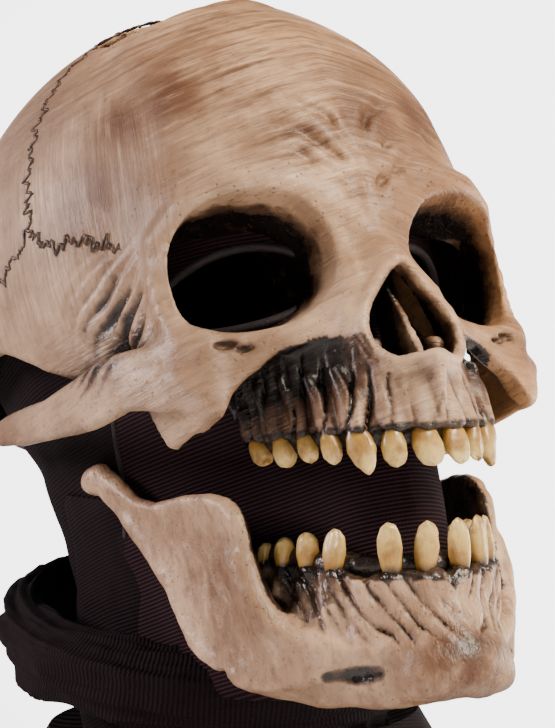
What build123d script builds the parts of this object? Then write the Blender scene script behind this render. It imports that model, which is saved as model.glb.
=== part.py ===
"""Latex skull mask with a moving jaw on a black stretch hood.

Millimetres. +Z up, the face looks to -Y, the wearer's right side is -X.
The origin is the middle of the line between the wearer's ears.
Bodies: skull (latex skull, upper teeth, pads, hood, neck) and jaw.
"""
from build123d import *
import os

os.makedirs("parts", exist_ok=True)

# ---- driving dimensions -------------------------------------------------
CRANIUM_HALF_WIDTH = 89.2
CRANIUM_HALF_LENGTH = 112.6
CRANIUM_HALF_HEIGHT = 97.6
CRANIUM_CENTRE = (0, 8.9, 46.6)
LATEX_WALL = 3.2             # cranium wall
FACE_WALL = 4.5              # thicker moulded face
HOOD_WALL = 2.0              # jersey drawn thicker than the cloth
HEAD_GAP = 7.0               # room for pads between skull and hood
CLEARANCE = 0.3              # between pieces that touch
PAD_CLEARANCE = 1.6          # round a foam pad before it swells
TOOTH_SCALE = 1.0            # size of every tooth crown
GUM_DEPTH = 7.0              # front to back of a gum strip
JAW_WALL = 4.5
RAMUS_THICKNESS = 4.5
NECK_RADIUS = 55.0
NECK_TILT = 19.0             # the neck leans back under the level skull
COWL_RING_RADIUS = 72.0
COWL_TILT = 28.0             # the roll hangs lower at the throat
COWL_CENTRE = (0, 42, -76)
COWL_ROLL_RADIUS = 13.0
BIB_BOTTOM_RADIUS = 128.0
BIB_LENGTH = 78.0

HINGE_Y = -5.0               # the wearer's own jaw joint
HINGE_Z = -18.0


# ---- helpers --------------------------------------------------------------
def save(solid, node):
    """Write one node as one closed solid."""
    solids = solid.solids()
    body = max(solids, key=lambda s: s.volume)
    export_step(body, f"parts/{node}.step")
    print(f"{node}: {len(solids)} solid(s), {body.volume / 1000:.1f} cm3")
    return body


def dome(centre, radii, lowest=-52):
    """A stretched ball from elliptical levels, open-ended at small flats."""
    from math import sin, cos, radians
    levels = []
    angle = lowest
    while angle <= 84:
        t = radians(angle)
        place = Pos(centre[0], centre[1], centre[2] + radii[2] * sin(t))
        levels.append(place * Ellipse(radii[0] * cos(t), radii[1] * cos(t)))
        angle += 17
    return loft(levels)


def mirrored(half):
    """Whole outline from the half with x <= 0, front to back."""
    right = [(x, y) for x, y in half]
    left = [(-x, y) for x, y in reversed(half) if x != 0]
    return left, right


def open_section(half, z, y_back):
    """Face bounded by a front curve and a straight back edge."""
    left, right = mirrored(half)
    pts = [(x, y, z) for x, y in reversed(right)]
    pts += [(x, y, z) for x, y in reversed(left)]
    x_end = -half[-1][0]
    pts = [(-x_end, y_back, z)] + pts + [(x_end, y_back, z)]
    front = Spline(*pts)
    back = Line(pts[-1], pts[0])
    return make_face(Wire([front, back]))


def ring_section(half, z):
    """Closed face through a front point, side points and a back point."""
    right = [(x, y, z) for x, y in half]
    left = [(-x, y, z) for x, y in reversed(half) if x != 0]
    return make_face(Wire([Spline(*(right + left), periodic=True)]))


def shrink(half, amount, centre_y):
    """Move outline points towards (0, centre_y)."""
    out = []
    for x, y in half:
        length = (x * x + (y - centre_y) ** 2) ** 0.5
        k = 1 - amount / length
        out.append((x * k, centre_y + (y - centre_y) * k))
    return out


def lofted(levels, maker):
    return loft([maker(half, z) for z, half in levels])


def keep_box(x0, x1, y0, y1, z0, z1):
    return Pos((x0 + x1) / 2, (y0 + y1) / 2, (z0 + z1) / 2) * Box(x1 - x0, y1 - y0, z1 - z0)


def side_prism(points, x0, x1):
    """Prism along X over a (y, z) polygon."""
    face = make_face(Polyline(*[(x0, y, z) for y, z in points], close=True))
    return extrude(face, amount=x1 - x0, dir=(1, 0, 0))


# ---- the head inside ----------------------------------------------------------
# Half outlines of the wearer's head inside the hood, by height.
HEAD_LEVELS = [
    (32, [(0, -86), (-30, -79), (-48, -66), (-62, -46), (-74, -8), (-76, 24), (-60, 76), (0, 106)]),
    (12, [(0, -88), (-30, -79), (-46, -66), (-58, -46), (-67, -8), (-70, 24), (-57, 70), (0, 100)]),
    (-10, [(0, -96), (-21, -84), (-36, -68), (-48, -46), (-58, -8), (-61, 26), (-50, 64), (0, 92)]),
    (-35, [(0, -98), (-18, -88), (-26, -72), (-35, -52), (-51, -8), (-54, 28), (-46, 62), (0, 86)]),
    (-60, [(0, -98), (-16, -90), (-22, -74), (-29, -54), (-48, -8), (-53, 28), (-45, 60), (0, 84)]),
    (-88, [(0, -96), (-15, -88), (-20, -73), (-27, -54), (-44, -14), (-50, 26), (-41, 58), (0, 84)]),
    (-104, [(0, -89), (-13, -81), (-18, -68), (-25, -50), (-39, -18), (-46, 20), (-37, 52), (0, 82)]),
]

HOOD_ROOM = 1.4              # other pieces stay this far outside the hood
hood_room = loft([ring_section(shrink(half, -HOOD_ROOM, 0), z) for z, half in HEAD_LEVELS])
CROWN_CENTRE = (0, 12, 46)
CROWN_RADII = (CRANIUM_HALF_WIDTH - LATEX_WALL - HEAD_GAP + 1, 100, 86)
crown_room = dome(CROWN_CENTRE, tuple(r + HOOD_ROOM for r in CROWN_RADII))

# ---- latex skull ------------------------------------------------------------
# Half outlines of the face, from the middle to the wearer's right, by height.
FACE_LEVELS = [
    (60, [(0, -101), (-25, -97), (-45, -87), (-60, -72), (-66, -56)]),
    (40, [(0, -103.5), (-20, -104), (-38, -99.5), (-57, -86), (-66, -60)]),
    (25, [(0, -105.5), (-20, -102), (-40, -97), (-59, -86), (-66, -62)]),
    (10, [(0, -113), (-15, -108), (-35, -99), (-58, -88), (-67, -64)]),
    (-5, [(0, -120), (-15, -114.5), (-35, -100), (-59, -91), (-68, -66)]),
    (-18, [(0, -126), (-15, -116.5), (-33, -101), (-56, -92), (-66, -68)]),
    (-32, [(0, -125), (-15, -117), (-28, -103), (-38, -88), (-42, -66)]),
    (-47.5, [(0, -121.5), (-14, -117.5), (-25, -109.5), (-34, -90), (-37, -66)]),
]
FACE_BACK_Y = -46

cranium_outer = dome(CRANIUM_CENTRE, (CRANIUM_HALF_WIDTH, CRANIUM_HALF_LENGTH, CRANIUM_HALF_HEIGHT))
cranium_inner = dome(
    CRANIUM_CENTRE,
    (CRANIUM_HALF_WIDTH - LATEX_WALL, CRANIUM_HALF_LENGTH - LATEX_WALL, CRANIUM_HALF_HEIGHT - LATEX_WALL),
)
# The cranium's lower edge rises over the ear and drops to the nape.
cranium_keep = side_prism(
    [(-140, -8), (-52, -8), (-38, -3), (-24, 3), (-7, 15), (4, 22), (24, 25), (64, 22),
     (94, 13), (140, 8), (140, 170), (-140, 170)], -120, 120)

face_outer = lofted(FACE_LEVELS, lambda half, z: open_section(half, z, FACE_BACK_Y))
face_inner_levels = [(z, shrink(half, FACE_WALL, -30)) for z, half in FACE_LEVELS]
face_inner_levels[-1] = (-55, face_inner_levels[-1][1])
face_inner = lofted(face_inner_levels, lambda half, z: open_section(half, z, FACE_BACK_Y + 12))

skull = (cranium_outer & cranium_keep) + face_outer


def arch(side):
    """Cheekbone and zygomatic arch, tapering to a free tip over the ear."""
    rings = [(-58, -92, -17, 5, 14), (-66, -80, -12, 4.5, 14), (-73.5, -62, -7, 3.5, 9.5), (-77.5, -42, -7, 3.2, 8),
             (-79.5, -16, -8, 3.2, 6.6), (-80.5, 10, -3.5, 3, 5.6), (-80, 30, 0.5, 2.6, 4.4), (-78.5, 44, 3, 1.6, 2.6)]
    faces = []
    for x, y, z, rx, rz in rings:
        plane = Plane(origin=(side * -x, y, z), x_dir=(1, 0, 0), z_dir=(0, 1, 0))
        faces.append(plane * Ellipse(rx, rz))
    return loft(faces)


def zygoma_corner(side):
    """The cheekbone's lower front corner."""
    top = Plane(origin=(side * 57.5, -88.5, -8)) * Ellipse(9, 6)
    middle = Plane(origin=(side * 57.5, -89.5, -22)) * Ellipse(7, 5)
    tip = Plane(origin=(side * 58, -90.5, -32.5)) * Ellipse(2.5, 2)
    return loft([top, middle, tip])


for side in (-1, 1):
    skull = skull + arch(side) + zygoma_corner(side)

skull = skull - cranium_inner - face_inner

ORBIT_HALF = (22.5, 19.0)
ORBIT_AT = (40.5, 16.0)
for side in (-1, 1):
    socket_plane = Plane(origin=(side * ORBIT_AT[0], -76, ORBIT_AT[1]), x_dir=(1, 0, 0), z_dir=(0, -1, 0))
    ring = extrude(socket_plane * Ellipse(ORBIT_HALF[0] + 2.5, ORBIT_HALF[1] + 2.5), amount=20)
    ring = ring & face_outer
    skull = skull + ring
for side in (-1, 1):
    hole_plane = Plane(origin=(side * ORBIT_AT[0], -60, ORBIT_AT[1]), x_dir=(1, 0, 0), z_dir=(0, -1, 0))
    skull = skull - extrude(hole_plane * Ellipse(*ORBIT_HALF), amount=80)

NOSE_OUTLINE = [(0, 9), (8, 1), (14, -8), (15, -17), (10, -24.5), (0, -26),
                (-10, -24.5), (-15, -17), (-14, -8), (-8, 1)]
nose_face = make_face(Polyline(*[(x, -140, z) for x, z in NOSE_OUTLINE], close=True))
skull = skull - extrude(nose_face, amount=52, dir=(0, 1, 0))
septum = side_prism([(-121, -26), (-108, 4), (-103, 4), (-100, -30), (-116, -30)], -1.2, 1.2)
nose_floor = keep_box(-17, 17, -117, -100, -30, -26.3)
skull = skull + (nose_floor & face_outer) + septum - hood_room - crown_room

# ---- teeth and gums -----------------------------------------------------------
# One side of each arch, middle to back: x, y, crown width, depth, height.
UPPER_ROW = [(5.2, -119.5, 10.2, 6.5, 12.5), (14.2, -116, 8.6, 6.5, 12.0), (22.8, -110.5, 9.8, 7.5, 14.0),
             (28.6, -103.5, 7.0, 6.5, 10.0), (31.6, -95.0, 6.6, 6.5, 8.8), (33.6, -84.5, 9.0, 7.0, 9.4),
             (35.0, -71.5, 8.5, 7.0, 8.6)]
LOWER_ROW = [(6.3, -106.8, 8.8, 6.5, 15.0), (15.8, -103.2, 8.8, 6.5, 15.0), (22.8, -97.5, 8.0, 6.5, 14.0),
             (27.2, -89.5, 8.0, 6.5, 12.5), (30.2, -79.5, 8.0, 7.0, 11.0), (32.6, -69.5, 7.6, 6.5, 8.5),
             (34.2, -60.5, 5.2, 5.5, 6.0)]
LOWER_MISSING = [("r", 3)]
UPPER_SLOPE = 0.24           # both tooth rows rise towards the back
LOWER_SLOPE = 0.36


def upper_gum_z(y):
    """Edge of the latex above the upper teeth."""
    return -46.5 + (y + 122) * UPPER_SLOPE


def lower_gum_z(y):
    """Edge of the latex below the lower teeth of the open jaw."""
    return -88.5 + (y + 108.5) * LOWER_SLOPE


def crown(x, y, z, width, depth, height, yaw, down, lean):
    """A tooth: narrow root, full crown, thin biting edge, leaning forward."""
    w = width / 2 * TOOTH_SCALE
    d = depth / 2 * TOOTH_SCALE
    s = -1 if down else 1
    steps = [(-3.0, 0.62, 0.62), (0.0, 0.82, 0.85), (height * 0.45, 1.0, 0.95), (height * 0.85, 0.86, 0.6),
             (height, 0.55, 0.3)]
    faces = []
    for dz, kw, kd in steps:
        place = Pos(x, y - lean * max(dz, 0) / height, z + s * dz) * Rot(0, 0, yaw)
        faces.append(place * Ellipse(w * kw, d * kd))
    return loft(faces)


def row_yaw(row, i):
    """Turn of a tooth about Z so that it faces outwards along the arch."""
    from math import atan2, degrees
    ahead = row[max(i - 1, 0)]
    behind = row[min(i + 1, len(row) - 1)]
    if i == 0:
        ahead = (-row[0][0], row[0][1])
    return degrees(atan2(behind[1] - ahead[1], behind[0] - ahead[0]))


def gum_strip(row, z0, z1, inset, tail):
    """A U-shaped strip behind and between the teeth."""
    half_out = [(-x, y + inset) for x, y, *_ in row]
    half_out = [(0, row[0][1] - 0.8 + inset)] + half_out + [(-row[-1][0] - 0.6, tail)]
    half_in = shrink(half_out, GUM_DEPTH, -48)
    out_pts = [(x, y, z0) for x, y in reversed(half_out)] + [(-x, y, z0) for x, y in half_out if x != 0]
    in_pts = [(x, y, z0) for x, y in reversed(half_in)] + [(-x, y, z0) for x, y in half_in if x != 0]
    outer = Spline(*out_pts)
    inner = Spline(*in_pts)
    wire = Wire([outer, Line(out_pts[-1], in_pts[-1]), inner, Line(in_pts[0], out_pts[0])])
    return extrude(make_face(wire), amount=z1 - z0, dir=(0, 0, 1))


upper_teeth = {}
for side, letter in ((-1, "r"), (1, "l")):
    for i, (x, y, w, d, h) in enumerate(UPPER_ROW):
        z = upper_gum_z(y) + 0.6
        yaw = side * row_yaw(UPPER_ROW, i)
        upper_teeth[f"upper_tooth_{letter}{i + 1}"] = crown(side * x, y + 1.8, z, w, d, h, yaw, True, 1.0)

lower_teeth = {}
for side, letter in ((-1, "r"), (1, "l")):
    for i, (x, y, w, d, h) in enumerate(LOWER_ROW):
        if (letter, i + 1) in LOWER_MISSING:
            continue
        yaw = side * row_yaw(LOWER_ROW, i)
        z = lower_gum_z(y)
        lower_teeth[f"lower_tooth_{letter}{i + 1}"] = crown(side * x, y + 1.8, z, w, d, h, yaw, False, 5.0 - 0.6 * i)

upper_gum = gum_strip(UPPER_ROW, -56, -24, 3.4, -67) - hood_room
upper_gum = upper_gum & side_prism([(-130, -51), (-60, -34.5), (-60, -24.5), (-130, -41)], -60, 60)
below_edge = side_prism([(-140, -50.5), (-60, -31.6), (-40, -31.6), (-40, -70), (-140, -70)], -60, 60)
skull = skull - below_edge - upper_gum
for tooth in upper_teeth.values():
    upper_gum = upper_gum - tooth
    skull = skull - tooth
save(skull, "skull_shell")

for name, tooth in upper_teeth.items():
    save(tooth, name)
save(upper_gum, "upper_gum")

# ---- latex jaw ------------------------------------------------------------------
JAW_LEVELS = [
    (-86, [(0, -110.5), (-8, -109.8), (-17, -105.8), (-24.5, -99), (-30, -88), (-34, -75), (-37, -58)]),
    (-97, [(0, -110.5), (-9, -109), (-19, -103), (-28, -92), (-36, -78), (-41.5, -66), (-46, -52)]),
    (-108, [(0, -113), (-9, -111.2), (-18, -103.5), (-27, -90), (-36, -75), (-43, -62), (-50, -47)]),
    (-118, [(0, -112), (-9, -109.8), (-17.5, -101.5), (-25, -89), (-32, -76), (-38, -66), (-43, -56)]),
    (-126, [(0, -104), (-8, -102), (-15.5, -95), (-21, -86), (-26, -77), (-30, -69), (-34, -60)]),
]
JAW_BACK_Y = -42
jaw_outer = lofted(JAW_LEVELS, lambda half, z: open_section(half, z, JAW_BACK_Y))
jaw_inner_levels = [(z, shrink(half, JAW_WALL, -38)) for z, half in JAW_LEVELS]
jaw_inner_levels[0] = (-84, jaw_inner_levels[0][1])
jaw_inner_levels[-1] = (-128, jaw_inner_levels[-1][1])
jaw_inner = lofted(jaw_inner_levels, lambda half, z: open_section(half, z, JAW_BACK_Y + 14))
# The latex stops at a slanted gum line and a rising lower border.
jaw_keep = side_prism(
    [(-130, -92.5), (-108.5, -88.5), (-53, -68.4), (-53, -84), (-33, -91), (-41, -98.5), (-55, -108),
     (-71, -119.5), (-90, -125), (-96, -125.7), (-130, -125.9)], -80, 80)
# A lift under each row of back teeth carries the sockets above the first level.
ridge_top = [(x, y) for x, y in JAW_LEVELS[0][1]]
ridge_outer = loft([open_section(shrink(ridge_top, 1.4, -38), -94, JAW_BACK_Y),
                    open_section(shrink(ridge_top, 1.1, -38), -62, JAW_BACK_Y)])
ridge_inner = loft([open_section(shrink(ridge_top, 6.5, -38), -96, JAW_BACK_Y + 14),
                    open_section(shrink(ridge_top, 6.2, -38), -60, JAW_BACK_Y + 14)])
jaw = ((jaw_outer + ridge_outer) - jaw_inner - ridge_inner) & jaw_keep

RAMUS_PROFILE = [(3.6, -22.7), (-3.4, -23), (-10, -29), (-19, -38), (-29, -43), (-39, -44), (-48, -45),
                 (-57, -47.6), (-64, -51.5), (-68, -57), (-69, -63), (-67.2, -70), (-67.2, -77), (-69.5, -84),
                 (-71, -90), (-76, -98), (-84, -104), (-80, -112), (-66, -111.5), (-55, -107.7), (-41, -98.4),
                 (-33.2, -91), (-28.8, -81), (-26.8, -70.5), (-20.5, -58.8), (-14, -47), (-8.4, -37.7),
                 (-2.2, -29.7), (4.5, -26.2)]


def ramus_x(y, z):
    """The plate leans out towards the ear and in towards the chin."""
    return 63.0 + 0.1637 * y + 0.0722 * z - 1.0


def ramus(side):
    """Thin outer plate of the jaw."""
    half = RAMUS_THICKNESS / 2
    points = [(side * (ramus_x(y, z) - half), y, z) for y, z in RAMUS_PROFILE]
    return extrude(make_face(Polyline(*points, close=True)), amount=RAMUS_THICKNESS, dir=(side, 0, 0))


for side in (-1, 1):
    jaw = jaw + ramus(side)
for side in (-1, 1):
    drill = Pos(side * 27, -88, -113.5) * Rot(90, 0, side * 60) * Cylinder(2.2, 16)
    jaw = jaw - drill
lower_gum = gum_strip(LOWER_ROW, -100, -56, 3.0, -56)
gum_keep = side_prism([(-125, -98.5), (-125, -90.5), (-48, -62.8), (-48, -71)], -60, 60)
lower_gum = (lower_gum & gum_keep) - hood_room
for tooth in lower_teeth.values():
    lower_gum = lower_gum - tooth
    jaw = jaw - tooth
jaw = jaw - lower_gum - hood_room
save(jaw, "jaw_shell")
save(lower_gum, "lower_gum")
for name, tooth in lower_teeth.items():
    save(tooth, name)

# ---- stretch hood -----------------------------------------------------------------
NECK_TOP = (0, 18, -25)
NECK_LENGTH = 112


def neck_frame(distance):
    """Plane across the neck, this far down its sloping axis."""
    from math import sin, cos, radians
    t = radians(NECK_TILT)
    down = (0, sin(t), -cos(t))
    origin = tuple(NECK_TOP[i] + down[i] * distance for i in range(3))
    return Plane(origin=origin, x_dir=(1, 0, 0), z_dir=down)


def neck_tube(radius, start, length):
    return extrude(neck_frame(start) * Ellipse(radius, radius * 0.98), amount=length)


crown_outer = dome(CROWN_CENTRE, CROWN_RADII)
crown_inner = dome(CROWN_CENTRE, tuple(r - HOOD_WALL for r in CROWN_RADII))
head_outer = lofted(HEAD_LEVELS, ring_section)
head_inner_levels = [(z, shrink(half, HOOD_WALL, 0)) for z, half in HEAD_LEVELS]
head_inner_levels[-1] = (-104 + HOOD_WALL, head_inner_levels[-1][1])
head_inner = lofted(head_inner_levels, ring_section)
hood = crown_outer + head_outer + neck_tube(NECK_RADIUS, 0, NECK_LENGTH)
hood = hood - crown_inner - head_inner - neck_tube(NECK_RADIUS - HOOD_WALL, -6, NECK_LENGTH + 20)

EYE_AT = (33, 15)
EYE_HALF = (22, 13)


def eye_prism(side, grow):
    plane = Plane(origin=(side * EYE_AT[0], -110, EYE_AT[1]), x_dir=(1, 0, 0), z_dir=(0, 1, 0))
    return extrude(plane * Ellipse(EYE_HALF[0] + grow, EYE_HALF[1] + grow), amount=62)


hood_solid = hood
for side in (-1, 1):
    hood_solid = hood_solid - eye_prism(side, 0)

# The side seam runs down behind the jaw and leans back with the neck.
SEAM_LINE = ((-46, 60), (-12, -16), (31.5, -112), (70, -197))


def seam_prism(offset, x0, x1):
    """Everything in front of the seam plane, moved back by offset."""
    pts = [(y + offset, z) for y, z in SEAM_LINE]
    top = (SEAM_LINE[0][0] - 41 + offset, 150)
    return side_prism([top] + pts + [(-160, -197), (-160, 150)], x0, x1)


front_half = hood_solid & seam_prism(-0.15, -140, 140)
back_half = hood_solid - seam_prism(0.15, -140, 140)
save(back_half, "hood_back_panel")

JAW_ZONE_TOP = -50.0
CHIN_TOP = -84.0
ZONE_BACK_Y = -44.0
CHIN_BACK_Y = -76.0
g = CLEARANCE / 2
face_panel = front_half - keep_box(-140, 140, -160, ZONE_BACK_Y + g, -200, JAW_ZONE_TOP + g)
mouth_panel = front_half & keep_box(-140, 140, -160, ZONE_BACK_Y - g, CHIN_TOP + g, JAW_ZONE_TOP - g)
chin_panel = front_half & keep_box(-140, 140, -160, CHIN_BACK_Y - g, -200, CHIN_TOP - g)
throat_panel = front_half & keep_box(-140, 140, CHIN_BACK_Y + g, ZONE_BACK_Y - g, -200, CHIN_TOP - g)
save(face_panel, "hood_face_panel")
save(mouth_panel, "hood_mouth_panel")
save(chin_panel, "hood_chin_panel")
save(throat_panel, "hood_throat_panel")

# A turned seam stands proud of the cloth on each side of the hood.
seam_outer = (crown_outer + head_outer + neck_tube(NECK_RADIUS, 0, NECK_LENGTH - 6))
seam_skin = crown_room
seam_head = hood_room
seam_band = seam_prism(2.0, -140, 140) - seam_prism(-2.0, -141, 141)
seam_span = keep_box(-140, 140, -200, 200, -62, 40)
seam_raised = ((seam_skin + seam_head) & seam_band & seam_span) - seam_outer
for side, letter in ((-1, "r"), (1, "l")):
    half_space = keep_box(min(0, side * 140), max(0, side * 140), -200, 200, -200, 200)
    save(seam_raised & half_space, f"hood_seam_{letter}")

# Elastic binding round each eye opening.
binding_skin = seam_head + seam_skin
for side, letter in ((-1, "r"), (1, "l")):
    band = (binding_skin & (eye_prism(side, 3.0) - eye_prism(side, 0))) - seam_outer
    save(band, f"eye_binding_{letter}")

# ---- foam pads ------------------------------------------------------------------------
pad_room = dome(CRANIUM_CENTRE, (CRANIUM_HALF_WIDTH - LATEX_WALL - PAD_CLEARANCE,
                                      CRANIUM_HALF_LENGTH - LATEX_WALL - PAD_CLEARANCE,
                                      CRANIUM_HALF_HEIGHT - LATEX_WALL - PAD_CLEARANCE))
pad_room = pad_room - dome(CROWN_CENTRE, tuple(r + PAD_CLEARANCE for r in CROWN_RADII)) - hood_room
PADS = {
    "crown_pad": (-34, 34, -30, 48, 60, 160),
    "forehead_pad": (-34, 34, -130, -40, 72, 98),
    "rear_pad": (-32, 32, 60, 140, 30, 84),
    "side_pad_r": (-110, -50, -18, 46, 40, 80),
    "side_pad_l": (50, 110, -18, 46, 40, 80),
}
for name, box in PADS.items():
    save(pad_room & keep_box(*box), name)

# Foam block that carries the jaw on the chin of the hood.
chin_room = jaw_inner & keep_box(-14, 14, -125, -84, -119, -95.5)
save(chin_room - hood_room - lower_gum - jaw, "chin_pad")

# Bead of set glue between the lower gum strip and the cloth behind it.
BEAD_SPAN = 14.0
bead_half = [(0, -98.6), (-7, -97.8), (-BEAD_SPAN, -94.0)]
bead_front = [(x, y, -86.5) for x, y in reversed(bead_half)] + [(-x, y, -86.5) for x, y in bead_half[1:]]
bead_back = [(x * 0.98, y + 1.6, z) for x, y, z in bead_front]
bead_face = make_face(Wire([Spline(*bead_front), Line(bead_front[-1], bead_back[-1]), Spline(*bead_back),
                            Line(bead_back[0], bead_front[0])]))
bead = extrude(bead_face, amount=3.4, dir=(0, 0, 1)) - lower_gum - hood_room
save(bead, "jaw_glue_bead")

# ---- neck cowl and shoulder bib ----------------------------------------------------------
cowl = Pos(*COWL_CENTRE) * Rot(COWL_TILT, 0, 0) * scale(
    Torus(COWL_RING_RADIUS, COWL_ROLL_RADIUS), by=(1.0, 0.9, 1.35))
cowl = cowl - hood_room - neck_tube(NECK_RADIUS + HOOD_ROOM, -6, NECK_LENGTH + 40)
save(cowl, "neck_cowl")
BIB_START = 84.0
bib_rings = [(0, 72), (14, 80), (40, 104), (BIB_LENGTH, BIB_BOTTOM_RADIUS)]


def bib_solid(grow, stretch):
    faces = []
    for down, radius in bib_rings:
        at = BIB_START + down * stretch
        faces.append(neck_frame(at) * Ellipse(radius + grow, radius * 0.86 + grow))
    return loft(faces)


bib = bib_solid(0, 1.0) - bib_solid(-3.0, 1.0)
save(bib - cowl, "shoulder_bib")
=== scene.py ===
"""Looks of the latex skull mask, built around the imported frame.

Shapes are worked out in millimetres in the frame's own axes and scaled to metres at the end.
Latex and foam pieces are distance fields turned into meshes; cloth pieces are curved grids.
"""
import math

import bpy
import numpy as np
from mathutils import Matrix, Vector


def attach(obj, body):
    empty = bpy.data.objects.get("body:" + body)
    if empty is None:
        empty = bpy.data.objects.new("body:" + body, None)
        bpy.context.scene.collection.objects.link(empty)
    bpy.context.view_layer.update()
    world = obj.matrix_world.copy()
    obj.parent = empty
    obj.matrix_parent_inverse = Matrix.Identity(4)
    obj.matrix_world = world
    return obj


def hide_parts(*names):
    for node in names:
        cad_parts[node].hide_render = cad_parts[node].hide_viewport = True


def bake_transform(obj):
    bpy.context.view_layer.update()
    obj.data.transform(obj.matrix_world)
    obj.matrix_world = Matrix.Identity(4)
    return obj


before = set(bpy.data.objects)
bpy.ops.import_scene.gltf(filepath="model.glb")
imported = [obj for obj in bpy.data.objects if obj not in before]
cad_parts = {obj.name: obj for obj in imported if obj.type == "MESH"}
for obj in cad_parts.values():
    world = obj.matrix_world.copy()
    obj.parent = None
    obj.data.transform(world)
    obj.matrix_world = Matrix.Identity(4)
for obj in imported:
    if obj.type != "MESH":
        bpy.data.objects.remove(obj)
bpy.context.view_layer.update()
MM = 0.001


# ---- noise ------------------------------------------------------------------
def lattice_noise(p, size, seed=0):
    """Smooth random values from -1 to 1 with features about size wide."""
    table = np.random.RandomState(seed).rand(32, 32, 32).astype(np.float32) * 2 - 1
    q = p / np.asarray(size, np.float32) + 100
    cell = np.floor(q).astype(np.int64)
    t = q - cell
    t = t * t * (3 - 2 * t)
    total = 0
    for dx in (0, 1):
        wx = t[:, 0] if dx else 1 - t[:, 0]
        for dy in (0, 1):
            wy = t[:, 1] if dy else 1 - t[:, 1]
            for dz in (0, 1):
                wz = t[:, 2] if dz else 1 - t[:, 2]
                value = table[(cell[:, 0] + dx) % 32, (cell[:, 1] + dy) % 32, (cell[:, 2] + dz) % 32]
                total = total + value * wx * wy * wz
    return total


# ---- distance fields --------------------------------------------------------
def folded(p):
    """The points moved to the left half, since the mask is symmetric."""
    return np.stack([np.abs(p[:, 0]), p[:, 1], p[:, 2]], 1)


def smooth_min(a, b, k):
    h = np.clip(0.5 + 0.5 * (b - a) / k, 0, 1)
    return b + (a - b) * h - k * h * (1 - h)


def smooth_max(a, b, k):
    return -smooth_min(-a, -b, k)


def ball(p, centre, radii):
    """Stretched ball."""
    q = (p - np.asarray(centre, np.float32)) / np.asarray(radii, np.float32)
    near = np.linalg.norm(q, axis=1)
    slope = np.linalg.norm(q / np.asarray(radii, np.float32), axis=1)
    return near * (near - 1) / np.maximum(slope, 1e-6)


def capsule(p, a, b, ra, rb):
    """Rounded bar from a to b whose radius changes from ra to rb."""
    a = np.asarray(a, np.float32)
    d = np.asarray(b, np.float32) - a
    t = np.clip(((p - a) @ d) / float(d @ d), 0, 1)
    return np.linalg.norm(p - a - t[:, None] * d, axis=1) - (ra + (rb - ra) * t)


def chain(p, points, radii):
    """Rounded bars joined end to end."""
    out = None
    for i in range(len(points) - 1):
        d = capsule(p, points[i], points[i + 1], radii[i], radii[i + 1])
        out = d if out is None else np.minimum(out, d)
    return out


def polygon(u, v, points):
    """Signed distance to a closed outline, negative inside."""
    best = np.full(u.shape, 1e9, np.float32)
    inside = np.zeros(u.shape, bool)
    for i, (ax, ay) in enumerate(points):
        bx, by = points[(i + 1) % len(points)]
        ex, ey = bx - ax, by - ay
        t = np.clip(((u - ax) * ex + (v - ay) * ey) / (ex * ex + ey * ey), 0, 1)
        best = np.minimum(best, (u - ax - ex * t) ** 2 + (v - ay - ey * t) ** 2)
        crosses = (ay > v) != (by > v)
        inside ^= crosses & (u < ax + ex * (v - ay) / (ey if abs(ey) > 1e-9 else 1e-9))
    return np.where(inside, -1, 1) * np.sqrt(best)


def smooth_line(points, per=6):
    """Catmull-Rom curve through the points."""
    pts = [np.asarray(q, float) for q in points]
    pts = [2 * pts[0] - pts[1]] + pts + [2 * pts[-1] - pts[-2]]
    out = []
    for i in range(1, len(pts) - 2):
        a, b, c, d = pts[i - 1:i + 3]
        for k in range(per):
            t = k / per
            out.append(0.5 * (2 * b + (c - a) * t + (2 * a - 5 * b + 4 * c - d) * t * t
                              + (3 * b - a - 3 * c + d) * t ** 3))
    out.append(pts[-2])
    return np.array(out)


def level_wall(p, levels, inset):
    """Distance in plan from an outline that changes with height."""
    heights = np.array([z for z, _ in levels][::-1], float)
    lines = np.array([smooth_line(half, 3) for _, half in levels][::-1])
    z = p[:, 2]
    best = np.full(len(p), 1e9, np.float32)
    side = np.ones(len(p), np.float32)
    xs = [np.interp(z, heights, lines[:, i, 0]).astype(np.float32) for i in range(lines.shape[1])]
    ys = [np.interp(z, heights, lines[:, i, 1]).astype(np.float32) for i in range(lines.shape[1])]
    for i in range(len(xs) - 1):
        ex, ey = xs[i + 1] - xs[i], ys[i + 1] - ys[i]
        rx, ry = p[:, 0] - xs[i], p[:, 1] - ys[i]
        t = np.clip((rx * ex + ry * ey) / (ex * ex + ey * ey), 0, 1)
        d = (rx - ex * t) ** 2 + (ry - ey * t) ** 2
        closer = d < best
        best = np.where(closer, d, best)
        side = np.where(closer, np.sign(ex * ry - ey * rx), side)
    return -side * np.sqrt(best) + inset


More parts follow.
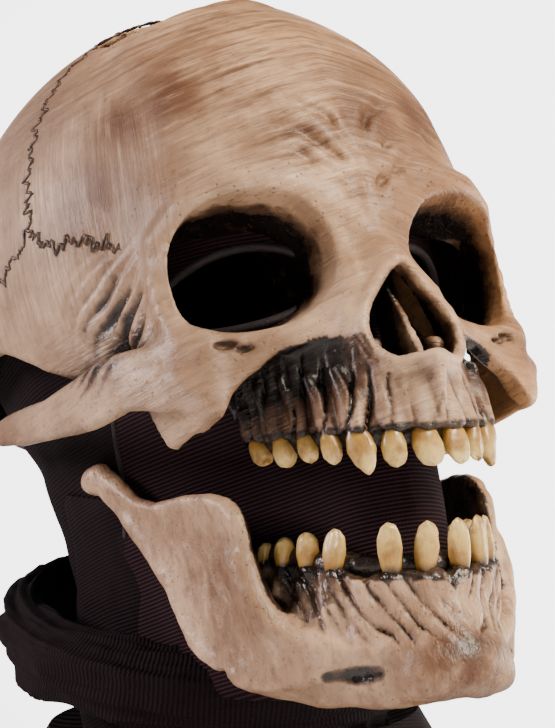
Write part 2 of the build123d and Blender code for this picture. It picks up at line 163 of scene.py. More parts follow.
class Thin:
    """Thin-plate surface y(x, z) through scattered points."""

    def __init__(self, points):
        pts = np.array([q for q in points] + [(-x, y, z) for x, y, z in points if x > 0.5], float)
        self.at = pts[:, [0, 2]]
        n = len(pts)
        d = np.linalg.norm(self.at[:, None] - self.at[None], axis=2)
        system = np.zeros((n + 3, n + 3))
        system[:n, :n] = self.kernel(d) + np.eye(n) * 1.0
        system[:n, n] = 1
        system[:n, n + 1:] = self.at
        system[n:, :n] = system[:n, n:].T
        self.weights = np.linalg.solve(system, np.concatenate([pts[:, 1], np.zeros(3)]))
        xs, zs = np.arange(-4, 96, 2.0), np.arange(-60, 130, 2.0)
        gx, gz = np.meshgrid(xs, zs, indexing="ij")
        grid = np.stack([gx.ravel(), gz.ravel()], 1)
        k = self.kernel(np.linalg.norm(grid[:, None] - self.at[None], axis=2))
        y = k @ self.weights[:n] + self.weights[n] + grid @ self.weights[n + 1:]
        self.table = y.reshape(gx.shape).astype(np.float32)

    @staticmethod
    def kernel(d):
        return d * d * np.log(np.maximum(d, 1e-6))

    def __call__(self, x, z):
        u = np.clip((x + 4) / 2, 0, self.table.shape[0] - 1.001)
        v = np.clip((z + 60) / 2, 0, self.table.shape[1] - 1.001)
        i, j = u.astype(int), v.astype(int)
        s, t = u - i, v - j
        y = self.table
        return ((y[i, j] * (1 - s) + y[i + 1, j] * s) * (1 - t)
                + (y[i, j + 1] * (1 - s) + y[i + 1, j + 1] * s) * t)


# ---- fields to meshes ----------------------------------------------------------
def sample(fn, lo, hi, step):
    """Fills a grid with fn, in full only near the surface."""
    k = 4
    blocks = np.ceil((hi - lo) / (step * k)).astype(int)
    ticks = [lo[i] + step * (np.arange(blocks[i]) * k + (k - 1) / 2) for i in range(3)]
    centres = np.stack(np.meshgrid(*ticks, indexing="ij"), -1).reshape(-1, 3).astype(np.float32)
    coarse = fn(centres).reshape(blocks)
    near = np.abs(coarse) < step * k * 1.7
    grid = coarse
    mask = near
    for axis in range(3):
        grid = np.repeat(grid, k, axis)
        mask = np.repeat(mask, k, axis)
    grid = grid.astype(np.float32)
    spots = np.argwhere(mask)
    values = np.empty(len(spots), np.float32)
    for start in range(0, len(spots), 400000):
        part = spots[start:start + 400000]
        values[start:start + len(part)] = fn((lo + part * step).astype(np.float32))
    grid[mask] = values
    return grid


CORNERS = [(0, 0, 0), (1, 0, 0), (0, 1, 0), (1, 1, 0), (0, 0, 1), (1, 0, 1), (0, 1, 1), (1, 1, 1)]
EDGES = [(a, b) for a in CORNERS for b in CORNERS if a < b and sum(abs(a[i] - b[i]) for i in range(3)) == 1]


def nets(grid, lo, step):
    """Quad mesh of the zero surface of a sampled field."""
    solid = grid < 0
    n = [s - 1 for s in grid.shape]
    count = np.zeros(n, np.int8)
    for c in CORNERS:
        count += solid[c[0]:c[0] + n[0], c[1]:c[1] + n[1], c[2]:c[2] + n[2]]
    active = (count > 0) & (count < 8)
    cells = np.argwhere(active)
    number = np.full(n, -1, np.int64)
    number[active] = np.arange(len(cells))
    total = np.zeros((len(cells), 3))
    hits = np.zeros(len(cells))
    for a, b in EDGES:
        fa = grid[tuple((cells + a).T)]
        fb = grid[tuple((cells + b).T)]
        cut = (fa < 0) != (fb < 0)
        t = np.where(cut, fa / np.where(cut, fa - fb, 1), 0)
        total[cut] += (np.array(a) + t[:, None] * (np.array(b) - np.array(a)))[cut]
        hits[cut] += 1
    verts = lo + step * (cells + total / hits[:, None])
    quads = []
    for axis in range(3):
        u, v = (axis + 1) % 3, (axis + 2) % 3
        front = [slice(1, -1)] * 3
        front[axis] = slice(0, -1)
        back = list(front)
        back[axis] = slice(1, None)
        here, there = solid[tuple(front)], solid[tuple(back)]
        for outward, found in ((True, here & ~there), (False, ~here & there)):
            at = np.argwhere(found)
            at[:, u] += 1
            at[:, v] += 1
            corners = []
            for du, dv in ((-1, -1), (0, -1), (0, 0), (-1, 0)):
                q = at.copy()
                q[:, u] += du
                q[:, v] += dv
                corners.append(number[tuple(q.T)])
            quad = np.stack(corners, 1)
            quads.append(quad if outward else quad[:, ::-1])
    return verts, np.concatenate(quads)


def slope_of(fn, p, h=0.6):
    """Gradient of a field."""
    out = np.empty_like(p)
    for i in range(3):
        d = np.zeros(3, np.float32)
        d[i] = h
        out[:, i] = (fn(p + d) - fn(p - d)) / (2 * h)
    return out


def field_mesh(fn, lo, hi, step):
    """Vertices settled on the field's surface, quads, and outward normals."""
    lo, hi = np.asarray(lo, float), np.asarray(hi, float)
    verts, quads = nets(sample(fn, lo, hi, step), lo, step)
    p = verts.astype(np.float32)
    for _ in range(2):
        g = slope_of(fn, p)
        move = fn(p)[:, None] * g / np.maximum((g * g).sum(1), 0.05)[:, None]
        length = np.linalg.norm(move, axis=1, keepdims=True)
        p = p - move * np.minimum(1, 0.6 * step / np.maximum(length, 1e-6))
    g = slope_of(fn, p, 1.0)
    return p, quads, g / np.maximum(np.linalg.norm(g, axis=1, keepdims=True), 1e-6)


def make_object(name, verts, faces, material, attributes=None):
    """Mesh object from millimetre vertices."""
    mesh = bpy.data.meshes.new(name)
    verts = np.asarray(verts, np.float32) * MM
    faces = np.asarray(faces)
    mesh.vertices.add(len(verts))
    mesh.vertices.foreach_set("co", verts.ravel())
    mesh.loops.add(faces.size)
    mesh.loops.foreach_set("vertex_index", faces.ravel().astype(np.int32))
    mesh.polygons.add(len(faces))
    sides = faces.shape[1]
    mesh.polygons.foreach_set("loop_start", np.arange(0, faces.size, sides, dtype=np.int32))
    mesh.polygons.foreach_set("loop_total", np.full(len(faces), sides, np.int32))
    mesh.update(calc_edges=True)
    mesh.validate()
    mesh.polygons.foreach_set("use_smooth", np.ones(len(mesh.polygons), bool))
    for key, values in (attributes or {}).items():
        values = np.asarray(values, np.float32)
        if values.ndim == 2:
            layer = mesh.attributes.new(key, "FLOAT_VECTOR", "POINT")
            layer.data.foreach_set("vector", values.ravel())
        else:
            layer = mesh.attributes.new(key, "FLOAT", "POINT")
            layer.data.foreach_set("value", values)
    obj = bpy.data.objects.new(name, mesh)
    bpy.context.scene.collection.objects.link(obj)
    mesh.materials.append(material)
    return obj


# ---- material helpers -----------------------------------------------------------
class Nodes:
    """Small helper for building a node material."""

    def __init__(self, name):
        self.material = bpy.data.materials.new(name)
        self.material.use_nodes = True
        self.tree = self.material.node_tree
        self.surface = self.tree.nodes["Principled BSDF"]
        self.coords = self.tree.nodes.new("ShaderNodeTexCoord").outputs["Object"]

    def put(self, socket, value):
        if isinstance(value, bpy.types.NodeSocket):
            self.tree.links.new(value, socket)
        elif isinstance(value, (tuple, list)) and len(value) == 3 and socket.type == "RGBA":
            socket.default_value = (*value, 1)
        else:
            socket.default_value = value

    def set(self, key, value):
        self.put(self.surface.inputs[key], value)

    def attribute(self, key, vector=False):
        node = self.tree.nodes.new("ShaderNodeAttribute")
        node.attribute_name = key
        return node.outputs["Vector" if vector else "Fac"]

    def math(self, operation, a, b=0.0, clamp=False):
        node = self.tree.nodes.new("ShaderNodeMath")
        node.operation = operation
        node.use_clamp = clamp
        self.put(node.inputs[0], a)
        self.put(node.inputs[1], b)
        return node.outputs[0]

    def scaled(self, vector, scale):
        node = self.tree.nodes.new("ShaderNodeMapping")
        self.put(node.inputs["Vector"], vector)
        node.inputs["Scale"].default_value = scale
        return node.outputs[0]

    def noise(self, vector, scale, detail=4.0, rough=0.55, twist=0.0):
        node = self.tree.nodes.new("ShaderNodeTexNoise")
        self.put(node.inputs["Vector"], vector)
        node.inputs["Scale"].default_value = scale
        node.inputs["Detail"].default_value = detail
        node.inputs["Roughness"].default_value = rough
        node.inputs["Distortion"].default_value = twist
        return node.outputs["Fac"]

    def cells(self, vector, scale):
        node = self.tree.nodes.new("ShaderNodeTexVoronoi")
        self.put(node.inputs["Vector"], vector)
        node.inputs["Scale"].default_value = scale
        return node.outputs["Distance"]

    def ramp(self, value, low, high, out_low=0.0, out_high=1.0):
        node = self.tree.nodes.new("ShaderNodeMapRange")
        node.interpolation_type = "SMOOTHSTEP"
        self.put(node.inputs["Value"], value)
        node.inputs["From Min"].default_value = low
        node.inputs["From Max"].default_value = high
        node.inputs["To Min"].default_value = out_low
        node.inputs["To Max"].default_value = out_high
        return node.outputs["Result"]

    def mix(self, share, a, b):
        node = self.tree.nodes.new("ShaderNodeMix")
        node.data_type = "RGBA"
        self.put(node.inputs[0], share)
        self.put(node.inputs[6], a)
        self.put(node.inputs[7], b)
        return node.outputs[2]

    def bump(self, height, distance, strength=1.0, before=None):
        node = self.tree.nodes.new("ShaderNodeBump")
        node.inputs["Strength"].default_value = strength
        node.inputs["Distance"].default_value = distance
        self.put(node.inputs["Height"], height)
        if before is not None:
            self.put(node.inputs["Normal"], before)
        return node.outputs["Normal"]


def srgb(r, g, b):
    """Linear colour from 0-255 display values."""
    return tuple((c / 255 / 12.92) if c < 11 else ((c / 255 + 0.055) / 1.055) ** 2.4 for c in (r, g, b))


def bone_material():
    """Painted latex: warm bone with a brighter copy painted on the key-lit side and top as painted light,
    brown washes, fine streaks, and black gloss in the recesses; the black also lays painted shade inside the
    eye and nose holes and on inner faces.
    """
    n = Nodes("bone_latex")
    flow = n.attribute("flow", True)
    drip = n.attribute("drip", True)
    side = n.attribute("side")
    level = n.noise(flow, 1.0, 5, 0.62, 0.3)
    fall = n.noise(drip, 1.0, 5, 0.62, 0.2)
    streak = n.math("ADD", n.math("MULTIPLY", level, n.math("SUBTRACT", 1.0, side)),
                    n.math("MULTIPLY", fall, side))
    level_fine = n.noise(n.scaled(flow, (2.2, 3.0, 2.2)), 1.0, 3, 0.7, 0.1)
    fall_fine = n.noise(n.scaled(drip, (3.0, 2.2, 2.2)), 1.0, 3, 0.7, 0.1)
    hair = n.math("ADD", n.math("MULTIPLY", level_fine, n.math("SUBTRACT", 1.0, side)),
                  n.math("MULTIPLY", fall_fine, side))
    cloud = n.noise(n.coords, 26.0, 5, 0.62)
    wash = n.noise(n.coords, 11.0, 3, 0.55)
    speck = n.noise(n.coords, 170.0, 4, 0.65)
    brown = n.attribute("brown")
    soot_and_shade = n.attribute("soot_and_shade")
    streaks = n.attribute("streaks")
    # Painted light: the second colour is a brighter, warmer copy of the bone colour, mixed in toward the side
    # and top that the key lamp lights.
    cool = n.mix(n.ramp(cloud, 0.3, 0.7), srgb(200, 170, 142), srgb(142, 114, 88))
    lit_bone = n.mix(n.ramp(cloud, 0.3, 0.7), srgb(226, 178, 130), srgb(166, 120, 80))
    base = n.mix(n.attribute("key_lit_side"), cool, lit_bone)
    base = n.mix(n.ramp(wash, 0.4, 0.66, 0, 0.6), base, srgb(112, 80, 56))
    thin = n.math("MULTIPLY", n.ramp(streak, 0.48, 0.68), streaks, True)
    base = n.mix(n.math("MULTIPLY", thin, 0.8), base, srgb(98, 66, 46))
    pale = n.math("MULTIPLY", n.ramp(streak, 0.46, 0.3), n.math("MULTIPLY", streaks, 0.5), True)
    base = n.mix(pale, base, srgb(232, 200, 168))
    fine = n.math("MULTIPLY", n.ramp(hair, 0.5, 0.72), streaks, True)
    base = n.mix(n.math("MULTIPLY", fine, 0.6), base, srgb(80, 54, 40))
    grown = n.math("ADD", cloud, n.math("MULTIPLY", streak, 0.7))
    patch = n.math("MULTIPLY", brown, n.ramp(grown, 0.62, 0.98, 0.3, 1), True)
    base = n.mix(patch, base, srgb(84, 50, 29))
    hollow = n.math("MULTIPLY", n.attribute("cavity"), n.ramp(speck, 0.25, 0.7, 0.75, 1.0), True)
    base = n.mix(n.ramp(speck, 0.56, 0.74, 0, 0.4), base, srgb(88, 58, 38))
    base = n.mix(hollow, base, srgb(50, 29, 19))
    # Real paint and painted shade: this dark mask is black paint at the gum line, in the flutes, on the
    # temple gloss and the chin stain, and also painted shade inside the eye and nose holes and on the inner
    # faces.
    edge = n.math("ADD", soot_and_shade, n.math("MULTIPLY", n.math("SUBTRACT", speck, 0.5), 0.75))
    edge = n.math("ADD", edge, n.math("MULTIPLY", n.math("SUBTRACT", cloud, 0.5), 0.3))
    black = n.math("MULTIPLY", n.ramp(edge, 0.32, 0.72), n.ramp(soot_and_shade, 0.02, 0.2), True)
    base = n.mix(n.ramp(edge, 0.1, 0.45, 0, 0.8), base, srgb(66, 40, 25))
    base = n.mix(black, base, srgb(15, 10, 9))
    dots = n.math("MULTIPLY", n.ramp(n.cells(n.coords, 380.0), 0.0, 0.24, 1, 0), n.attribute("pits"), True)
    base = n.mix(n.math("MULTIPLY", dots, 0.7), base, srgb(66, 40, 26))
    n.set("Base Color", base)
    rough = n.ramp(cloud, 0.3, 0.7, 0.36, 0.54)
    rough = n.math("SUBTRACT", rough, n.math("MULTIPLY", black, 0.2))
    rough = n.math("SUBTRACT", rough, n.math("MULTIPLY", n.attribute("wet"), 0.26), True)
    n.set("Roughness", rough)
    n.set("IOR", 1.47)
    n.set("Coat Weight", 0.12)
    n.set("Coat Roughness", 0.3)
    lines = n.bump(streak, 0.0011, 0.8)
    lines = n.bump(hair, 0.0006, 0.7, lines)
    lines = n.bump(speck, 0.0009, 0.55, lines)
    lines = n.bump(cloud, 0.0020, 0.4, lines)
    lines = n.bump(n.math("MULTIPLY", dots, -1.0), 0.0009, 0.6, lines)
    n.set("Normal", lines)
    return n.material


def tooth_material():
    """Stained yellow resin, dark at the gum, with vertical craze lines."""
    n = Nodes("tooth_resin")
    height = n.attribute("height")
    cloud = n.noise(n.coords, 140.0, 4, 0.6)
    lines = n.noise(n.scaled(n.coords, (900, 900, 90)), 1.0, 3, 0.6, 0.3)
    base = n.mix(n.ramp(height, 0.1, 0.95), srgb(170, 132, 58), srgb(216, 190, 122))
    base = n.mix(n.ramp(cloud, 0.42, 0.72), base, srgb(138, 98, 42))
    base = n.mix(n.math("MULTIPLY", n.ramp(lines, 0.55, 0.8), 0.45), base, srgb(112, 70, 28))
    neck = n.math("ADD", height, n.math("MULTIPLY", n.math("SUBTRACT", cloud, 0.5), 0.3))
    base = n.mix(n.ramp(neck, 0.0, 0.2, 1, 0), base, srgb(40, 22, 12))
    n.set("Base Color", base)
    n.set("Roughness", n.ramp(cloud, 0.3, 0.7, 0.22, 0.42))
    n.set("Coat Weight", 0.25)
    n.set("Coat Roughness", 0.18)
    n.set("Subsurface Weight", 0.06)
    n.set("Subsurface Scale", 0.002)
    n.set("Normal", n.bump(cloud, 0.0006, 0.6, n.bump(lines, 0.0003, 0.5)))
    return n.material


def gum_material():
    """Nearly black moulded strip with wet highlights."""
    n = Nodes("gum_latex")
    lumps = n.noise(n.coords, 260.0, 4, 0.6)
    base = n.mix(n.ramp(lumps, 0.4, 0.75), srgb(14, 10, 9), srgb(58, 36, 26))
    n.set("Base Color", base)
    n.set("Roughness", n.ramp(lumps, 0.3, 0.7, 0.2, 0.42))
    n.set("Normal", n.bump(lumps, 0.0012, 0.8))
    return n.material


def jersey_material(name, painted_sheen=0.5):
    """Black stretch jersey with fine ribs; its knit lines are lifted toward purple-brown as a painted
    highlight, scaled by the sheen weight.
    """
    n = Nodes(name)
    rib = n.attribute("rib")
    ribs = n.math("SINE", n.math("MULTIPLY", rib, 2 * math.pi))
    cross = n.attribute("course")
    loops = n.math("SINE", n.math("MULTIPLY", cross, 2 * math.pi))
    knit = n.math("ADD", n.math("MULTIPLY", loops, 0.85), n.math("MULTIPLY", ribs, 0.15))
    cloud = n.noise(n.coords, 34.0, 5, 0.6)
    lint = n.noise(n.coords, 900.0, 3, 0.7)
    base = n.mix(n.ramp(cloud, 0.3, 0.7), srgb(8, 5, 8), srgb(13, 8, 12))
    # Painted highlight: the knit lines are lifted toward purple, scaled by the sheen weight.
    base = n.mix(n.math("MULTIPLY", n.ramp(knit, -0.2, 1.0), painted_sheen), base, srgb(58, 32, 42))
    base = n.mix(n.math("MULTIPLY", n.ramp(lint, 0.66, 0.84), 0.25), base, srgb(70, 54, 60))
    n.set("Base Color", base)
    n.set("Roughness", n.ramp(cloud, 0.3, 0.7, 0.78, 0.92))
    n.set("Specular IOR Level", 0.12)
    n.set("Normal", n.bump(lint, 0.0003, 0.35, n.bump(knit, 0.0003, 0.5)))
    return n.material


def plain_material(name, dark, light, scale, rough, depth, wear=0.3):
    """Foam, elastic or glue: two mixed tones, grain and a little wear."""
    n = Nodes(name)
    grain = n.noise(n.coords, scale, 5, 0.65)
    cloud = n.noise(n.coords, scale * 0.12, 3, 0.5)
    base = n.mix(n.ramp(grain, 0.35, 0.7), dark, light)
    base = n.mix(n.math("MULTIPLY", n.ramp(cloud, 0.5, 0.8), wear), base, tuple(c * 0.5 for c in dark))
    n.set("Base Color", base)
    n.set("Roughness", n.ramp(cloud, 0.3, 0.7, rough - 0.08, rough + 0.08))
    n.set("Normal", n.bump(grain, depth, 0.7))
    return n.material


BONE = bone_material()
TOOTH = tooth_material()
GUM = gum_material()
# The face panel copy of the jersey carries a much stronger painted highlight than the copy used elsewhere.
JERSEY = jersey_material("hood_jersey", 0.22)
LIT_FACE_JERSEY = jersey_material("hood_jersey_lit_face", 0.9)
FOAM = plain_material("pad_foam", srgb(58, 58, 62), srgb(88, 88, 92), 700.0, 0.9, 0.0006)
ELASTIC = plain_material("elastic", srgb(18, 14, 18), srgb(40, 30, 36), 900.0, 0.7, 0.0004)
GLUE = plain_material("set_glue", srgb(206, 200, 184), srgb(236, 232, 222), 300.0, 0.3, 0.0006)
SEAM = plain_material("seam_thread", srgb(20, 14, 18), srgb(44, 30, 38), 1200.0, 0.85, 0.0005)

# ---- latex skull -----------------------------------------------------------------
CENTRE = (0, 8.9, 46.6)
RADII = (89.2, 112.6, 97.6)
RIM = [(18.5, -103, 27), (25, -101.8, 33.5), (36, -99.8, 36.5), (48, -95.5, 37), (57.5, -89, 34),
       (63.5, -81.5, 24), (64, -80.5, 10), (60, -83.5, -0.5), (51, -88.5, -4.5), (41, -92, -5),
       (30, -96, -3), (21, -99.5, 3.5),
       (16, -101, 13), (15.8, -102.5, 21)]
NOSE_HALF = [(0, -117, 9.2), (3.6, -115.6, 6.6), (7, -114.5, 2.5), (11.5, -114.2, -3), (14.5, -114.5, -8),
             (16, -115.2, -13), (15.5, -116, -18), (13, -118, -22.5), (9, -120, -25.5), (4, -123, -25.2),
             (0, -127, -26.5)]
LIP = [(66, -86, -21), (61, -89.5, -31), (57.5, -91.5, -31), (53, -91.5, -24.5), (47, -93, -19.5),
       (36, -98, -13.5), (26, -104, -12), (18, -110, -15), (15, -114, -22)]
ARCH = [(58, -86, -16), (66, -76, -14), (73.5, -61, -10), (77.5, -42, -10.5), (79.5, -16, -8),
        (80.5, 10, -3.5), (80, 30, 0.5), (78.5, 46, 3.2)]
ARCH_HALF_HEIGHT = [13, 12.5, 10.5, 9.5, 7.5, 6.4, 4.4, 2.0]


def front_points():
    """Points that the front of the face passes through."""
    pts = list(RIM) + list(NOSE_HALF) + LIP[1:]
    pts += [(0, -103, 31), (16, -104, 40), (27, -104, 43.5), (36, -102, 45), (45, -97.5, 44), (52, -91.5, 41),
            (60, -82, 34), (66, -73, 26)]
    pts += [(0, -106, 19.6), (5, -106, 19), (9.5, -104.5, 17), (0, -105.5, 25), (10, -104, 26)]
    pts += [(67, -72, 6), (68, -70, -8), (66, -78, -4), (61, -86.5, -10), (50, -93, -10), (38, -97, -8),
            (27, -101, -5), (20, -105, -4), (17, -108, 2), (13, -107, 9), (60, -90, -24), (70, -64, 14)]
    pts += [(0, -125.5, -34), (10, -122, -34), (0, -123, -46), (20, -112, -24)]
    for z in (54, 64, 76, 90, 104):
        for x in (0, 18, 36, 52, 66):
            inside = 1 - (x / RADII[0]) ** 2 - ((z - CENTRE[2]) / RADII[2]) ** 2
            if inside > 0.08:
                pts.append((x, CENTRE[1] - RADII[1] * math.sqrt(inside), z))
    return pts


FRONT = Thin(front_points())
UPPER_ROW = [(5.2, -119.5, 10.2, 6.5, 12.5), (14.2, -116, 8.6, 6.5, 12.0), (22.8, -110.5, 9.8, 7.5, 14.0),
             (28.6, -103.5, 7.0, 6.5, 10.0), (31.6, -95.0, 6.6, 6.5, 8.8), (33.6, -84.5, 9.0, 7.0, 9.4),
             (35.0, -71.5, 8.5, 7.0, 8.6)]
LOWER_ROW = [(6.3, -106.8, 8.8, 6.5, 15.0), (15.8, -103.2, 8.8, 6.5, 15.0), (22.8, -97.5, 8.0, 6.5, 14.0),
             (27.2, -89.5, 8.0, 6.5, 12.5), (30.2, -79.5, 8.0, 7.0, 11.0), (32.6, -69.5, 7.6, 6.5, 8.5),
             (34.2, -60.5, 5.2, 5.5, 6.0)]
LOWER_MISSING = [(-1, 3)]
MAXILLA = [
    (-6, [(0, -118), (14, -112), (25, -102), (33, -91), (38, -78), (40, -62)]),
    (-20, [(0, -124), (15, -116), (27, -104), (35, -91), (39.5, -78), (41, -62)]),
    (-34, [(0, -124.5), (14.5, -118), (26.5, -107), (34.5, -92), (38, -78), (40, -62)]),
    (-48, [(0, -121.5), (14, -117.5), (25, -109.5), (31.5, -98), (35, -84), (37, -62)]),
]


NOSE_HOLE = [(x, z) for x, _, z in NOSE_HALF] + [(-3, -26.5), (-3, 9.2)]
SEPTUM = [(-120, -26), (-113, -8), (-106, 6), (-99, 6), (-98, -30), (-116, -32)]


def upper_gum_z(y):
    return -46.5 + (y + 122) * 0.24


def lower_gum_z(y):
    return -88.5 + (y + 108.5) * 0.36


def brow_and_cheek(p):
    """Rounded ridges laid over the face."""
    brow = chain(p, [(0, -98, 31), (10, -100.5, 32), (20, -100, 38.5), (32, -98.6, 42), (44, -94.4, 41.5),
                     (54, -87, 37.5), (61, -78, 29.5)], [6.5, 6.2, 6.0, 6.2, 6.2, 5.8, 5.2])
    side = chain(p, [(60, -77, 29), (64, -77, 18), (63.5, -77.5, 6), (60, -82, -6)], [5, 3.8, 4, 5])
    under = chain(p, [(60, -82, -6), (48, -88, -8), (34, -93.5, -7), (22, -99, -1), (16, -101, 8)],
                  [5, 4.5, 4, 3.6, 3])
    lip = chain(p, [(x * 0.97, y + 3.4, z + 2.2) for x, y, z in LIP], [4, 3.4, 3, 3.2, 3.4, 3.6, 3.4, 3, 2.4])
    bridge = chain(p, [(0, -99, 24), (0, -102, 18), (0, -109.5, 11)], [6, 6, 6.4])
    flank = chain(p, [(8, -102, 14), (12.5, -107, 3), (17, -110, -9), (16.5, -112, -19)], [3.5, 3.4, 3.6, 4])
    plug = capsule(p, (17, -107, -7), (22, -102.5, -23), 4.6, 4.0)
    out = smooth_min(brow, plug, 3)
    for ridge in (side, under, lip, bridge, flank):
        out = smooth_min(out, ridge, 3)
    return out


def nose_rim(p):
    rim = chain(p, smooth_line([(x + 1.3, y + 0.6, z) for x, y, z in NOSE_HALF], 2), [1.9] * 21)
    spine = chain(p, [(0, -125.5, -26.2), (0, -124, -33), (0, -121.5, -43)], [2.6, 2.2, 1.4])
    return smooth_min(rim, spine, 3)


def roots_up(p):
    """Bulges above the upper teeth, fanning out under the cheek."""
    out = None
    for i, (x, y, w, d, h) in enumerate(UPPER_ROW):
        z = upper_gum_z(y)
        rise = (15, 16, 20, 19, 19, 17, 14)[i]
        spread = (0.4, 1.2, 2.6, 2.4, 3.4, 4.4, 4.2)[i]
        line = [(x, y + 1.6, z + 0.5), (x + spread * 0.35, y + 1.8 + 0.12 * i, z + rise * 0.55),
                (x + spread, y + 3.6 + 0.3 * i, z + rise)]
        root = chain(p, line, [w * 0.45, w * 0.36, w * 0.2])
        out = root if out is None else smooth_min(out, root, 1.2)
    return out


def flutes(p, slant, seed):
    """Curved grooves across the tooth sockets: 1 in a groove, 0 on a ridge."""
    phi = np.arctan2(np.abs(p[:, 0]), -(p[:, 1] + 58)) * 42
    warp = lattice_noise(p, (9, 9, 16), seed) * 2.2 + lattice_noise(p, (4, 4, 9), seed + 1) * 0.8
    wave = np.abs(np.sin((phi + slant * p[:, 2] + warp) * np.pi / 4.9))
    return np.exp(-(wave / 0.38) ** 2) * np.clip(0.75 + 0.6 * lattice_noise(p, 7, seed + 2), 0.2, 1)


def orbit_outline(p):
    """Signed distance to the eye opening seen from the front."""
    return polygon(p[:, 0], p[:, 2], smooth_line([(x, z) for x, _, z in RIM + RIM[:1]], 3)[:-1])


def cranium_edge(y):
    return np.interp(y, [-140, -62, -52, -38, -24, -7, 4, 24, 64, 94, 140],
                     [-60, -34, -8, -3, 3, 15, 22, 25, 22, 13, 8])


def lip_edge(x):
    return np.interp(x, [0, 14, 16.5, 18, 26, 36, 47, 53, 57.5, 61, 66, 72, 90],
                     [-30, -29, -22, -15.5, -12.5, -14, -20, -25, -32.5, -31.5, -22, -12, -8])


FROWN = [
    [(3.5, -103, 22), (4.5, -104, 33), (7, -104.5, 43)],
    [(0, -103, 27), (-1, -104, 40)],
    [(9, -104, 41), (20, -105, 50), (34, -103, 54)],
    [(6, -104, 47), (16, -104, 57), (30, -101, 63)],
    [(2, -104, 52), (8, -103, 64), (20, -101, 72)],
]


def frown(p):
    """Shallow creases between and above the brows."""
    q = folded(p)
    q = q + 1.3 * lattice_noise(p, 8, 33)[:, None]
    out = 0
    for line in FROWN:
        d = chain(q, line, [0.0] * len(line))
        out = out + 1.1 * np.exp(-(d / 1.7) ** 2) - 0.5 * np.exp(-((d - 4) / 2.5) ** 2)
    return out


def wrinkle(p):
    """Creased lines of the temple, from -1 to 1."""
    bend = lattice_noise(p, 14, 3)
    return np.sin(p[:, 2] * 1.1 + p[:, 1] * 0.7 + 6.0 * bend)


def skull_field(p):
    """The whole upper latex piece."""
    raw = p
    p = folded(p)
    x, y, z = p.T
    head = ball(p, CENTRE, RADII)
    width = np.interp(z, [-34, -18, 0, 25, 45, 70], [61, 66, 67, 66, 62, 50])
    face = (FRONT(x, z) - y) * 0.86
    face_block = smooth_max(smooth_max(face, x - width, 7), y + 56, 4)
    outer = smooth_min(head, face_block, 9)
    outer = smooth_min(outer, brow_and_cheek(p), 4)
    hollow = smooth_min(head + 3.4, np.maximum(np.maximum(face + 5.5, x - width + 5), y + 20), 6)
    temple = np.exp(-(((y + 58) / 17) ** 2 + ((z - 16) / 24) ** 2)) * (x > 40)
    outer = outer + temple * (0.9 + 0.9 * wrinkle(raw) * np.clip((38 - z) / 20, 0, 1))
    outer = outer + frown(raw)
    outer = outer + 0.5 * lattice_noise(raw, 13, 5) * np.clip((-y - 60) / 30, 0, 1)
    outer = outer + 0.35 * lattice_noise(raw, 5, 6) * np.clip((-y - 78) / 20, 0, 1)
    edge = np.where(y < -58, np.maximum(lip_edge(x), -60), cranium_edge(y))
    cut = (edge - z) * 0.75 + 0.5 * lattice_noise(raw, 8, 9)
    shell = smooth_max(smooth_max(outer, -hollow, 1.5), cut, 2.2)
    orbit = orbit_outline(p)
    depth = np.clip((y + 104) / 30, 0, 1)
    cup = np.maximum(np.abs(orbit + 4.6 * depth ** 1.4 - 2.8) - 1.9, np.maximum(y + 70, face - 0.5))
    shell = smooth_min(shell, cup, 2.5)
    wall = level_wall(p, MAXILLA, 0) + np.clip((x - 6) / 12, 0.35, 1) * np.clip((-z - 13) / 9, 0, 1) * 1.6
    fade = np.clip((x - 3) / 14, 0.3, 1) * np.clip((-z - 12) / 8, 0, 1)
    gum = upper_gum_z(y) - 1.4 * np.abs(np.sin(np.hypot(x, 0.8 * (y + 122)) * 0.34))
    maxilla = np.maximum(np.maximum(wall, -wall - 6.0), y + 64)
    maxilla = smooth_min(maxilla, np.maximum(roots_up(p), -wall - 4.2), 3.0)
    maxilla = maxilla + 2.3 * fade * flutes(raw, 0.14, 81)
    maxilla = smooth_max(maxilla, np.maximum(gum - z, z - 1), 1.2)
    shell = smooth_min(shell, maxilla, 2.2)
    arch = chain(np.stack([x, y, z * 0.36], 1), [(a, b, c * 0.36) for a, b, c in ARCH],
                 [3.4 + 0.14 * (h - 4) for h in ARCH_HALF_HEIGHT])
    half = np.interp(y, [a[1] for a in ARCH], ARCH_HALF_HEIGHT)
    mid = np.interp(y, [a[1] for a in ARCH], [a[2] for a in ARCH])
    arch = smooth_max(arch, np.abs(z - mid) - half, 3)
    arch = arch + 0.5 * lattice_noise(raw, (7, 16, 7), 8)
    shell = smooth_min(shell, arch, 5)
    opening = orbit + 4.6 * depth ** 1.4 - 1.3
    shell = smooth_max(shell, -np.maximum(opening, y + 50), 1.6)
    hole = polygon(x, z, NOSE_HOLE)
    shell = smooth_max(shell, -np.maximum(hole + 0.3, y + 96), 0.8)
    septum = np.maximum(x - 1.2 - 0.4 * lattice_noise(raw, 5, 2), polygon(y, z, SEPTUM))
    curl = capsule(p, (11.5, -110, -17), (10.5, -100, -13), 2.6, 2.2)
    shell = smooth_min(shell, smooth_min(septum, curl, 1.0), 1.0)
    shell = smooth_min(shell, nose_rim(p), 1.4)
    foramen = ball(p, (52.8, -93.8, -9.3), (4.4, 4.2, 1.7))
    foramen = np.minimum(foramen, ball(p, (47.5, -95, -11.2), (3.4, 3.6, 1.1)))
    shell = smooth_max(shell, -foramen, 0.8)
    return shell


SUTURES = [
    [(-14, -22, 139), (-34, -24, 133), (-59.6, -25.7, 113), (-71, -27, 98), (-77.6, -28.6, 83),
     (-82, -30, 66),
     (-83.7, -31, 53)],
    [(-83.7, -31, 53), (-81.5, -38, 45), (-76.5, -49.7, 42), (-70, -58.5, 37), (-65.3, -66.5, 32)],
    [(-83.7, -31, 53), (-86.5, -12, 44), (-86, 8, 40)],
]


